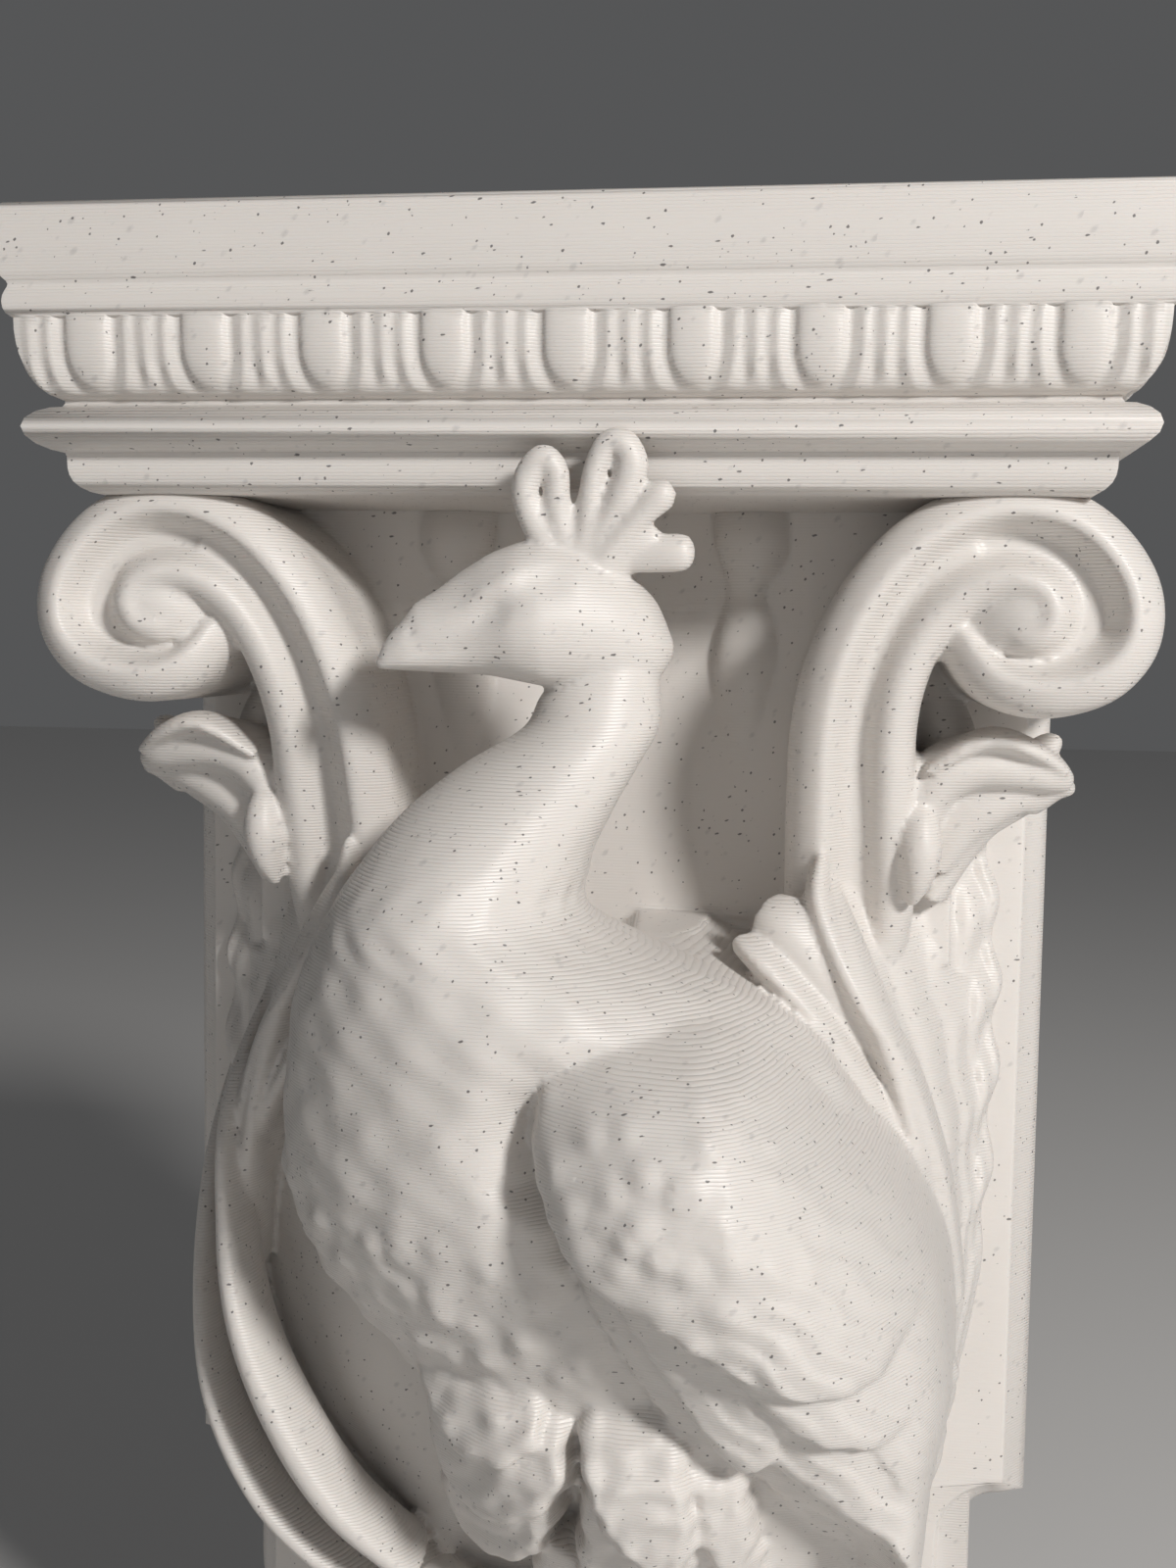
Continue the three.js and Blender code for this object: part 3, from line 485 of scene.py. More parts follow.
nicheLeaf = [[10.2, -6.4, 40.4, 2.7, 1.6], [10.2, -7, 37.6, 2.6, 1.7], [9.9, -6.4, 34.8, 1.5, 1.2],
             [10, -6.6, 31, 2.3, 1.5], [9.9, -6.2, 26.5, 2, 1.2], [9.9, -5.6, 21, 0.7, 0.8]]


def makeFan(side):
    t = np.linspace(0, 1, 220)
    u = np.linspace(0, 1, 90)
    left, right, depth = smoothRun(fan["left"], t), smoothRun(fan["right"], t), smoothRun(fan["depth"], t)
    lobeFade, liftFade, toeFade = fade(0.6 - t, 0, 0.12), fade(0.7 - t, 0, 0.2), fade(0.62 - t, 0, 0.1)
    rings = []
    for k in range(len(t)):
        # the free edge is scalloped into lobes that curl outwards
        phase = t[k] * fan["lobes"] + fan["lobeStart"]
        lobe = (0.5 + 0.5 * math.cos(2 * math.pi * phase)) * lobeFade[k]
        edgeX = right[k, 0] - fan["lobeReach"] * lobe
        x = left[k, 0] + (edgeX - left[k, 0]) * u
        z = left[k, 1] + (right[k, 1] - left[k, 1]) * u + 2.2 * u**2 * liftFade[k]
        base = np.interp(u, [0, 0.33, 0.66, 1], depth[k])
        # long flutes beside the stem; towards the edge they part into toes that curve outward
        flute = np.abs(np.cos(math.pi * fan["flutes"] * u ** 1.2)) ** 0.7 * (1 - 0.5 * u)
        toe = np.abs(np.sin(math.pi * (phase + 1.1 * u))) ** 0.6
        toes = toe * np.clip(u * 1.6 - 0.3, 0, 1) * toeFade[k]
        rim = np.clip(u / 0.04, 0, 1) * np.clip((1 - u) / 0.04, 0, 1)
        front = np.column_stack([x, -(base + fan["rise"] * (flute + 0.7 * toes - 0.6) * rim), z])
        first, last = [[left[k, 0], carvedBack, left[k, 1]]], [[edgeX, carvedBack, z[-1]]]
        rings.append(np.vstack([first, front, last]))
    rings = np.array(rings)
    rings[:, :, 0] *= side
    body.addRings(rings)


def makeAcanthus(side):
    for name, stations in acanthus.items():
        # on the right the long ribs lie behind the tail, closer to the wall
        sunk = 2.8 if side > 0 and name in ("outerRib", "secondRib") else 0.0
        places = [[x - 0.9 * sunk, sunk - 3.2 - out, z, wide, deep] for x, out, z, wide, deep in stations]
        addLimb(places, 70, 26, side, 1.3 if "Rib" in name or "tongue" in name else 1.0)
    makeFan(side)
    addLimb(nicheLeaf, 50, 24, side, 1.1, veinRelief(0.3, 0.25))


# level ovals: x, y, z, half width, half depth
torso = [
    [2.9, -21.3, 30.4, 2.4, 2.6], [1.9, -21.2, 28, 3.6, 3.4], [1.3, -21.3, 26, 4.1, 3.9],
    [-1.1, -22, 23.7, 5.3, 4.9], [-3.4, -22.9, 21, 6.2, 6.5], [-5.2, -23.2, 18, 6.8, 8.6],
    [-6.1, -22.7, 14.7, 8.1, 10.4], [-2.9, -21.5, 10.8, 13.4, 12.4], [-0.9, -20.6, 7.6, 16.2, 13.6],
    [0.3, -19.8, 3.4, 18, 14.2], [1.7, -19, -2, 19.5, 14.2], [3.9, -18, -8, 19.7, 13],
    [6.6, -17, -14, 17.6, 11.2], [9.2, -15.6, -20, 14.4, 9.6], [11, -14, -26, 11.2, 8],
    [11, -12, -32, 8.4, 6.4], [9.4, -9.6, -39, 5.4, 4.6], [7, -7, -46, 2.4, 2.6],
]
chest = {"size": 2.2, "rise": 0.72}
# hollow between the chest and the wing's front edge: heights z with the edge's x there
hollow = {
    "z": [-15, -8, -3, 1, 5, 8.6, 11, 14], "x": [12, 8, 4, 1.4, 0.8, 1.6, 3.4, 6],
    "depth": 4.6, "half": 3.3,
}


# multipliers that jitter the bumps, three for the place and one for the height
scatter = [(12.9898, 78.233, 37.719), (39.346, 11.135, 83.155), (73.156, 52.235, 9.151),
           (26.651, 64.879, 45.164)]


# Soft scattered bumps of uneven height, at jittered places of a loose grid in space
def scatteredBumps(x, y, z, size, seed):
    places = [x / size, y / size, z / size]
    cell = [np.floor(value) for value in places]
    best = np.zeros(np.broadcast(x, y, z).shape)
    for i in (-1, 0, 1):
        for j in (-1, 0, 1):
            for k in (-1, 0, 1):
                a, b, c = cell[0] + i, cell[1] + j, cell[2] + k
                picks = []
                for p, q, r in scatter:
                    value = np.sin(a * p + b * q + c * r + seed) * 43758.5453
                    picks.append(value - np.floor(value))
                square = sum((place - corner - 0.15 - 0.7 * pick) ** 2
                             for place, corner, pick in zip(places, (a, b, c), picks))
                best = np.maximum(best, (0.35 + 0.65 * picks[3]) * np.exp(-square / 0.2))
    return best


def makeTorso():
    rows = smoothRun(torso, np.linspace(0, 1, 421))
    angle = np.linspace(0, 2 * math.pi, 360, endpoint=False)
    x = rows[:, 0, None] + rows[:, 3, None] * np.cos(angle)
    y = rows[:, 1, None] + rows[:, 4, None] * np.sin(angle)
    z = np.repeat(rows[:, 2, None], len(angle), axis=1)
    dx, dy = x - rows[:, 0, None], y - rows[:, 1, None]
    reach = np.hypot(dx, dy)
    across = np.arctan2(dx, -dy) * 15
    mask = fade(-z, -12, 6) * fade(z, -24, -16) * fade(-dy / np.maximum(reach, 1e-6), -0.25, 0.15)
    mask = mask * (0.45 + 0.55 * fade(-z, -6, 8))
    bump = scatteredBumps(x, y, z * 0.9, chest["size"], 3.0) * chest["rise"] * mask
    edge = np.interp(z, hollow["z"], hollow["x"])
    sink = hollow["depth"] * np.exp(-(((x - edge - 0.8) / hollow["half"]) ** 2))
    sink = sink * fade(z, -20, -8) * fade(9.8 - z, 0, 7) * fade(-dy, 0, 4)
    ripple = 0.12 * np.sin(across * 1.3 + 0.9 * np.sin(z * 0.9)) * np.sin(z * 1.15 + 1.3)
    ripple = ripple * fade(-z, -22, -12) * fade(z, -30, -20)
    out = (bump + ripple) / np.maximum(reach, 0.5)
    body.addRings(np.stack([x + dx * out, y + (dy * out + sink), z], axis=2))


# x, top, bottom and half thickness of the head, from the nape to the tip of the beak
head = [
    (6.2, 31.2, 30.6, 0.3), (5.8, 32.3, 29.6, 1.3), (5.2, 33.6, 29, 2.2), (4.3, 34.7, 28.7, 2.8),
    (3.2, 35.6, 28.5, 3.3), (1.1, 36.8, 28.5, 3.8), (-1.2, 37.2, 28.5, 4), (-2.8, 37.1, 28.8, 3.8),
    (-4.6, 36.4, 29.15, 3.1), (-6.3, 35.3, 29.25, 2.35), (-7.8, 34.1, 29.3, 1.85), (-9.1, 33.3, 29.35, 1.5),
    (-9.4, 32.6, 29.35, 1.35), (-10, 32, 29.4, 1.05), (-10.6, 31.2, 29.4, 0.7), (-11, 30.3, 29.45, 0.4),
    (-11.2, 29.7, 29.55, 0.15),
]


def makeHead():
    spans = ((6.2, 5.2, 12), (5.1, -10, 150), (-10.1, -11.2, 16))
    xs = np.concatenate([np.linspace(*span) for span in spans])
    top, low, thick = (tableRun(head, xs, column) for column in (1, 2, 3))
    kernel = np.ones(5) / 5
    for values in (top, low, thick):
        padded = np.concatenate([np.full(2, values[0]), values, np.full(2, values[-1])])
        values[:] = np.convolve(padded, kernel, "valid")
    y = np.interp(-xs, [-6.2, -3, 1.2, 5.7, 11.2], [-20.9, -21.5, -22.4, -23.2, -24.7])
    angle = np.linspace(0, 2 * math.pi, 120, endpoint=False)
    ca, sa = np.cos(angle), np.sin(angle)
    middle, tall = (top + low) / 2, (top - low) / 2
    beak = fade(-xs, 3.5, 7.5)
    # round skull, then a beak with a rounded ridge and a flat, straight lower bill
    up = np.where(sa > 0, sa, np.sign(sa) * np.abs(sa) ** (1 - 0.45 * beak[:, None]))
    side = np.sign(ca) * np.abs(ca) ** (0.9 + 0.25 * beak[:, None] * (sa > 0))
    px = np.repeat(xs[:, None], len(angle), axis=1)
    py = y[:, None] + thick[:, None] * side
    pz = middle[:, None] + tall[:, None] * up
    front = np.clip(-ca[None, :], 0, 1)

    def spot(cx, cz, rx, rz, turn=0.0):
        c, s = math.cos(turn), math.sin(turn)
        u = (px - cx) * c + (pz - cz) * s
        v = -(px - cx) * s + (pz - cz) * c
        return np.exp(-((u / rx) ** 2) - ((v / rz) ** 2))

    relief = (0.42 * spot(-3.7, 34.4, 2.4, 0.75, 0.62) - 0.62 * spot(-4.0, 32.9, 1.7, 0.85, 0.5)
              + 0.3 * spot(-1.4, 31.3, 3, 1.9, 0.1) - 0.3 * spot(-0.9, 34.7, 1.2, 0.9)
              - 0.22 * spot(-9.0, 32.2, 0.35, 1.3, 0.25) - 0.16 * spot(-7.6, 30.55, 2.6, 0.22, 0.12))
    py -= relief * front
    py += relief * np.clip(ca[None, :], 0, 1)
    body.addRings(np.stack([px, py, pz], axis=2))


crest = {
    "loopOne": [
        [0.3, -23, 35.6, 1.2, 1], [-1.2, -23.5, 37.2, 0.95, 0.85], [-2.1, -23.9, 38.7, 0.85, 0.8],
        [-2.4, -24.2, 40.1, 0.8, 0.8], [-2, -24.4, 41.2, 0.8, 0.8], [-1.2, -24.5, 41.85, 0.8, 0.8],
        [-0.5, -24.4, 41.1, 0.75, 0.75], [-0.5, -24.1, 39.8, 0.8, 0.75], [-0.3, -23.7, 38, 0.8, 0.75],
        [0.6, -23, 35.6, 0.9, 0.9],
    ],
    "loopTwo": [
        [0.5, -23, 35.6, 1, 0.9], [1.2, -23.6, 37.6, 0.75, 0.75], [1.45, -24, 39.5, 0.7, 0.75],
        [1.8, -24.4, 41.3, 0.7, 0.75], [2.5, -24.6, 42.6, 0.75, 0.8], [3.4, -24.6, 42.7, 0.85, 0.85],
        [3.95, -24.5, 41.5, 0.95, 0.9], [3.4, -24.2, 39.9, 0.95, 0.9], [2.5, -23.7, 38.3, 0.85, 0.85],
        [1.2, -23, 35.8, 0.9, 0.9],
    ],
    "plumeThree": [
        [1.4, -23, 35.2, 0.9, 0.9], [2.9, -23.6, 37, 0.75, 0.8], [4.4, -24, 38.6, 0.8, 0.85],
        [5.7, -24.2, 39.8, 0.95, 0.9], [6.3, -24.2, 40.2, 0.45, 0.5],
    ],
    "plumeFour": [
        [1.8, -22.8, 34.8, 0.9, 0.9], [3.2, -23.1, 36.2, 0.75, 0.8], [4.5, -23.3, 37.4, 0.7, 0.7],
        [5.2, -23.4, 38, 0.4, 0.4],
    ],
    "plumeFive": [
        [1.8, -22.4, 34.9, 0.9, 0.9], [3.4, -22.7, 36.1, 0.95, 0.85], [5, -22.9, 36.4, 1.1, 0.9],
        [6.4, -23, 36.5, 1.15, 0.95], [7.2, -23, 36.5, 0.95, 0.8], [7.55, -23, 36.5, 0.35, 0.35],
    ],
}
wing = {
    # level z, left x, right x, foremost x, depth there, depth at the left edge, depth at the right edge
    "levels": [
        (13.4, 4.5, 5.2, 4.8, 9, 9, 8), (12.6, 4.2, 6.4, 5.4, 17, 16.8, 15),
        (11.6, 3.6, 8.6, 6.4, 24, 23, 20), (10.6, 2.8, 10.6, 7.2, 28, 26.4, 21.4),
        (9.4, 2, 12.2, 7.8, 32.2, 29.6, 22.4), (8.2, 1.2, 13.6, 8.4, 35.4, 32, 23),
        (6.8, 0.6, 15, 9, 37.4, 33.6, 23.2), (5.2, 0.3, 16.2, 9.4, 38.4, 34.6, 23.2),
        (1.2, 0.4, 19.6, 9.8, 39, 35.4, 22.8), (-2.2, 1.8, 21.6, 10.6, 38.4, 36.4, 22.4),
        (-6, 4.2, 23, 12, 37, 36.4, 22), (-10, 7.2, 23.6, 13.6, 35.4, 35, 21.6),
        (-14, 10.4, 23.8, 15.6, 33.6, 33.4, 21.2), (-18, 14.6, 23.2, 18, 31.6, 31.4, 20.6),
        (-21, 18.4, 22.8, 20.2, 29.6, 29.2, 20), (-24, 19.5, 22.6, 21, 27.6, 27, 19.4),
        (-28, 19, 22.2, 20.6, 25, 24.4, 18.6), (-32, 17, 20.6, 18.8, 21.6, 21, 16.4),
        (-37, 13, 17, 15, 16, 15.4, 12), (-42, 9, 13, 11, 10, 9.6, 8), (-46, 7, 10, 8.5, 5, 4.8, 4),
    ],
    # each layer: how far it lies under the coverts, then its outline
    "layers": {
        "coverts": (0, [
            (14, 16), (5, 16), (4.2, 12.6), (3, 10.9), (1.2, 8.6), (0.4, 6), (0.35, 3.7), (0.9, 1.6),
            (2.2, -1.4), (4.3, -3.3), (7.5, -4.7), (10.6, -7), (13.5, -8.6), (16.6, -9.3), (18.8, -8.9),
            (20.2, -7.6), (23, -5), (32, -3), (32, 16),
        ]),
        "second": (1.1, [
            (4, -2), (8, -5), (11.6, -8.5), (13.5, -11), (15.9, -12.4), (18.6, -13.4), (20.6, -13),
            (23, -11), (32, -9), (32, 2), (6, 2),
        ]),
        "longOne": (1.9, [
            (2.8, -1.6), (5, -4.5), (7.6, -9.1), (10.2, -13.8), (11.6, -15.4), (12.8, -15.3),
            (13.4, -14.4), (15, -10), (14, -4), (5, -1),
        ]),
        "third": (1.8, [
            (15, -8), (17.7, -11.3), (19.5, -14.6), (21.8, -18.8), (23.6, -22.4), (30, -20), (32, -6),
            (16, -6),
        ]),
        "longTwo": (2.7, [
            (9.4, -11), (12.1, -14.9), (13.7, -15), (17.6, -19.1), (20.2, -21.3), (21.6, -22.3), (23, -21),
            (24, -15), (20, -9), (10, -8),
        ]),
        "stripOne": (3.7, [
            (2, -2.6), (3.2, -5.5), (6.1, -11), (8.5, -14.5), (10.7, -16.2), (12, -16.6), (12.8, -15.4),
            (8, -7), (4, -2),
        ]),
        "stripTwo": (4.4, [
            (10.6, -13.6), (11.7, -15.8), (14.2, -19.5), (17.6, -24.4), (19.8, -25.9), (21.4, -25.2),
            (22, -18), (13, -12),
        ]),
        "lowest": (4.3, [
            (13, -17), (15.2, -21.6), (18.2, -27), (20.6, -29.4), (22.4, -28.8), (24, -22), (23, -15),
        ]),
    },
    "covertRise": 0.75, "floor": 2.6, "ragged": 0.08, "taper": "lowest",
}


def roundedOutline(points):
    outline = np.array(points, float)
    for _ in range(3):
        following = np.roll(outline, -1, axis=0)
        cut = np.stack([0.75 * outline + 0.25 * following, 0.25 * outline + 0.75 * following], axis=1)
        outline = cut.reshape(-1, 2)
    return outline


# Distance to an outline, negative inside it
def outlineDistance(outline, x, z):
    best = np.full(x.shape, 1e9)
    inside = np.zeros(x.shape, bool)
    ends = np.roll(outline, -1, axis=0)
    for (ax, az), (bx, bz) in zip(outline, ends):
        dx, dz = bx - ax, bz - az
        share = np.clip(((x - ax) * dx + (z - az) * dz) / (dx * dx + dz * dz), 0, 1)
        best = np.minimum(best, (x - ax - share * dx) ** 2 + (z - az - share * dz) ** 2)
        crossing = (az > z) != (bz > z)
        if az != bz:
            inside ^= crossing & (x < (bx - ax) * (z - az) / (bz - az) + ax)
    return np.where(inside, -1, 1) * np.sqrt(best)


# Carved slab in layers, seen from the front; detail gives the fine relief of each layer
def makeSlab(slab, columns, rows, detailOf, fadeAt):
    x, z = np.meshgrid(columns, rows)
    levels = np.array(slab["levels"])[::-1]
    t = np.interp(rows, levels[:, 0], np.linspace(0, 1, len(levels)))
    run = smoothRun(levels, t)
    left, right, peak, top, leftDepth, rightDepth = (run[:, k, None] for k in range(1, 7))
    u = np.clip((peak - x) / np.maximum(peak - left, 0.5), 0, 1.6)
    v = np.clip((x - peak) / np.maximum(right - peak, 0.5), 0, 1)
    surface = np.where(x < peak, top - (top - leftDepth) * u**2.2,
                       rightDepth + (top - rightDepth) * np.clip(1 - v**2.1, 0, 1) ** 0.72)
    past = np.clip(x - right, 0, 6)
    surface = surface - 5 * past - 5 * past**2
    height = np.zeros(x.shape)
    # a layer is rounded off by the lip inside its outline and falls away outside it
    lip = 0.42
    for name, (under, points) in slab["layers"].items():
        d = outlineDistance(roundedOutline(points), x, z)
        d = d + slab["ragged"] * (np.sin(2.1 * x + 1.3 * z) + np.sin(2.9 * z - 1.7 * x))
        drop = under * (1 - fade(x, fadeAt, fadeAt + 3.2))
        edge = np.where(d < 0, lip * np.exp(d / 0.4), lip + 4.5 * d + 6 * np.clip(d - 0.6, 0, None))
        if name == slab["taper"]:
            edge = np.where(d < 0, edge, lip + 1.5 * d)
        height = np.maximum(height, surface - drop - edge + detailOf(name, x, z, d, surface))
    height = np.maximum(height, slab["floor"])
    front = np.stack([x, -height, z], axis=2)
    rim = np.stack([x, np.full(x.shape, carvedBack), z], axis=2)
    body.addRings(np.concatenate([front, rim[:, ::-1]], axis=1))


def makeWing():
    def detailOf(name, x, z, d, surface):
        # feather edges that run down to the right
        along = x * 0.70 + z * 0.71 + 0.25 * np.sin(0.9 * (x - z))
        saw = along / 1.55 - np.floor(along / 1.55)
        shaft = 0.44 * (saw - 0.5) * fade(1 - saw, 0, 0.14)
        if name != "coverts":
            return 0.7 * shaft * fade(-d, 0.3, 1.0)
        small = scatteredBumps(x, -surface, z, 2.1, 8.0)
        covert = wing["covertRise"] * small * fade(12 - z, 0, 5) * (1 - 0.8 * fade(x, 13, 18))
        return covert + shaft * fade(x - 0.6 * z, 12, 18) * fade(8 - z, 0, 6)

    step = 0.16
    makeSlab(wing, np.arange(-1, 27, step), np.arange(12.7, -46, -step), detailOf, 19.5)


def featherRelief(t, wide, angle):
    shaft = 0.12 * np.exp(-((wide / 0.12) ** 2))
    barbs = 0.02 * np.sin((t * 16 + np.abs(wide) * 1.6) * 2 * math.pi) * fade(np.abs(wide), 0.15, 0.4)
    return (shaft + barbs) * (np.sin(angle) > 0) * fade(t, 0.02, 0.15)


def makeTrain():
    for i in range(5):
        w = i / 4
        feather = [[8 + 12 * w, -21 + 3 * w, -18, 2, 2], [8.5 + 11 * w, -20.5 + 4 * w, -25, 2.4, 2],
                   [6.5 + 9.5 * w, -17.2 + 3.4 * w, -34, 2.1, 2],
                   [5 + 6 * w, -12.4 + 2 * w, -42 + 2 * w, 1.6, 1.8],
                   [4 + 4.5 * w, -9 + 1.2 * w, -47 + 3 * w, 0.6, 0.9]]
        addLimb(feather, 70, 32, 1, 1.0, featherRelief)


# leaf-like feathers under the belly, in layers as for the wing, with a low ridge under them
belly = {
    "levels": [
        (-5, -8.4, 14, 4, 18, 16, 17), (-8.6, -8.5, 14, 4, 25, 21, 24),
        (-12.5, -8.6, 13.6, 4.4, 29.2, 24.2, 27.4), (-16.5, -8.6, 13.4, 4.6, 31.2, 24.4, 28),
        (-20.5, -8.2, 13.6, 4.6, 30.4, 23.4, 27.4), (-24.5, -7.6, 13.8, 4.6, 28.4, 21.6, 25.6),
        (-28.5, -6.6, 13.6, 4.6, 25.6, 19.4, 23), (-33, -4, 12, 4, 21, 17, 19.4),
        (-37, -2, 10, 4, 15, 13, 14),
    ],
    "layers": {
        "leafA": (0.3, [
            (0.2, -4), (0.3, -14.2), (-0.5, -15.6), (-2, -16.7), (-3.6, -17.3), (-5.4, -17.3), (-8, -15.8),
            (-8.6, -12), (-9, -4),
        ]),
        "leafB": (1.5, [
            (1.5, -4), (1.6, -16.6), (1.1, -18.5), (-0.4, -20.4), (-2.9, -22.1), (-4.8, -22.5),
            (-7.4, -21.2), (-8, -15.5), (-8, -4),
        ]),
        "leafC": (0.6, [
            (1.8, -4), (2.6, -15.4), (2.9, -17.6), (3.8, -20.4), (5.6, -22.6), (7.4, -24.6), (8.8, -22.6),
            (9, -18), (8.2, -13.4), (8, -4),
        ]),
        "leafD": (1.4, [
            (6.8, -4), (8.8, -17), (9.4, -21.4), (11.4, -25.2), (12.6, -22), (12, -17.4), (11, -4),
        ]),
        "leafE": (2.5, [
            (0.4, -19), (-0.2, -23.4), (-2.2, -26), (-5.2, -27.4), (-7.8, -26), (-8, -21), (-4, -18.4),
        ]),
        "leafF": (2.4, [
            (2.4, -18.6), (2.2, -23.4), (1.2, -27.4), (3.4, -29.8), (6.4, -27.4), (7.2, -22), (4.4, -18),
        ]),
        "leafG": (2.6, [(6.8, -21.6), (7.8, -26.4), (10.6, -29.6), (13.4, -27), (12.6, -21)]),
        "leafH": (4, [(-1, -24), (-2, -29.4), (0.4, -32.6), (3, -31), (4, -25)]),
        "leafI": (4, [(4.4, -25), (5, -30.4), (7.4, -33.4), (10, -31), (10, -25)]),
    },
    "floor": 8, "ragged": 0.13, "taper": "",
}
perch = [[-9.5, -14.5, -31.5, 1.2, 2.4], [-4, -17.8, -33.2, 1.9, 2.8], [2.5, -18.4, -33.8, 1.9, 2.8],
         [8, -15.6, -32.8, 1.2, 2.4]]


def makeBelly():
    def detailOf(name, x, z, d, surface):
        rim = 0.2 * np.exp(-(((d + 0.6) / 0.4) ** 2))
        wave = np.sin((x * 0.5 - z * 0.86) * 2.6 + 1.4 * np.sin(x * 0.8 + z * 0.5))
        barb = 0.2 * wave * fade(-d, 0.8, 1.6)
        return rim + barb + 0.55 * scatteredBumps(x, -surface, z, 2.0, 5.0) * fade(z, -22, -14)

    step = 0.16
    makeSlab(belly, np.arange(-11, 16, step), np.arange(-5, -36, -step), detailOf, 90)


def makeLowerEnd():
    for i in range(5):
        w = i / 2 - 1
        d = 1 - 0.45 * w * w
        addLimb([[12.4 * w, -4 - 13 * d, -31.4, .7, .8], [11 * w, -3.6 - 11.4 * d, -35, 2.6, 1.8],
                 [8.2 * w, -3 - 8.6 * d, -41, 2.7, 2], [4.8 * w, -2.6 - 6 * d, -47, 1.8, 1.8],
                 [1.6 * w, -2.4 - 3.4 * d, -52, 0.8, 1.2]], 60, 32, 1, 1.1, veinRelief(0.35, 0.2))


printed = {
    "voxel": 0.24, "quickVoxel": 0.42, "smoothing": 3, "triangles": 178000, "quickTriangles": 90000,
    "creaseAngle": 58,
}


def unionWith(target, other):
    applyModifier(target, "BOOLEAN", operation="UNION", solver="MANIFOLD", object=other)
    bpy.data.objects.remove(other, do_unlink=True)


def trimTo(obj, box):
    flat = np.empty(len(obj.data.vertices) * 3)
    obj.data.vertices.foreach_get("co", flat)
    points = np.clip(flat.reshape(-1, 3) / mm, box[0], box[1])
    obj.data.vertices.foreach_set("co", (points * mm).ravel())
    obj.data.update()


makeGround()
for side in (-1, 1):
    makeVolute(side, 0.6 if side < 0 else 0.0)
    makeAcanthus(side)
print("carved ground, volutes and acanthus laid out")
makeTorso()
makeHead()
makeWing()
makeTrain()
makeBelly()
for stations in crest.values():
    addLimb(stations, 70, 24)
addLimb(perch, 50, 28, 1, 1.25)
makeLowerEnd()
print("peacock laid out", body.count, "points")

corbel = body.toObject("printed_corbel")
voxel = printed["voxel"]
applyModifier(corbel, "REMESH", mode="VOXEL", voxel_size=voxel * mm, adaptivity=0)
applyModifier(corbel, "SMOOTH", factor=0.5, iterations=printed["smoothing"])
print("fused at", voxel, "mm:", len(corbel.data.polygons), "faces")

relief = makeBand().toObject("band_relief")
slab = makeShelf()
unionWith(slab, relief)
unionWith(slab, makePlate().toObject("plate"))
unionWith(corbel, slab)
applyModifier(corbel, "TRIANGULATE")
wanted = printed["triangles"]
share = min(1.0, wanted / len(corbel.data.polygons))
applyModifier(corbel, "DECIMATE", ratio=share, use_collapse_triangulate=True)
trimTo(corbel, np.array(cadBox) / mm)
makeActive(corbel)
bpy.ops.object.shade_smooth_by_angle(angle=math.radians(printed["creaseAngle"]))
print("one piece:", len(corbel.data.polygons), "triangles")


# A plain value is set on a socket, an output is linked to it
def feed(tree, socket, value):
    if isinstance(value, bpy.types.NodeSocket):
        tree.links.new(value, socket)
    elif value is not None:
        socket.default_value = value


def addNode(tree, kind, inputs=None, **settings):
    node = tree.nodes.new("ShaderNode" + kind)
    for name, value in settings.items():
        setattr(node, name, value)
    for key, value in (inputs or {}).items():
        feed(tree, node.inputs[key], value)
    return node


def mathNode(tree, operation, first, second=None, clamp=False):
    return addNode(tree, "Math", {0: first, 1: second}, operation=operation, use_clamp=clamp).outputs[0]


def mixColour(tree, factor, first, second):
    return addNode(tree, "Mix", {"Factor": factor, 6: first, 7: second}, data_type="RGBA").outputs[2]


def newGroup(name, inputs, output):
    group = bpy.data.node_groups.new(name, "ShaderNodeTree")
    for label, kind in inputs:
        group.interface.new_socket(name=label, in_out="INPUT", socket_type="NodeSocket" + kind)
    group.interface.new_socket(name=output, in_out="OUTPUT", socket_type="NodeSocketFloat")
    return group, group.nodes.new("NodeGroupInput").outputs, group.nodes.new("NodeGroupOutput").inputs


def newMaterial(name):
    material = bpy.data.materials.new(name)
    material.use_nodes = True
    tree = material.node_tree
    return material, tree, next(n for n in tree.nodes if n.type == "BSDF_PRINCIPLED")


# metres; a bead stands out on upright faces, less on those that face the front, a step on sloping ones
layers = {
    "pitch": 0.0002, "wobbleScale": 900, "wobble": 0.35, "bead": 0.00003, "valley": 0.94, "frontLoss": 0.8,
    "step": 0.00007, "stepPower": 3.0,
}


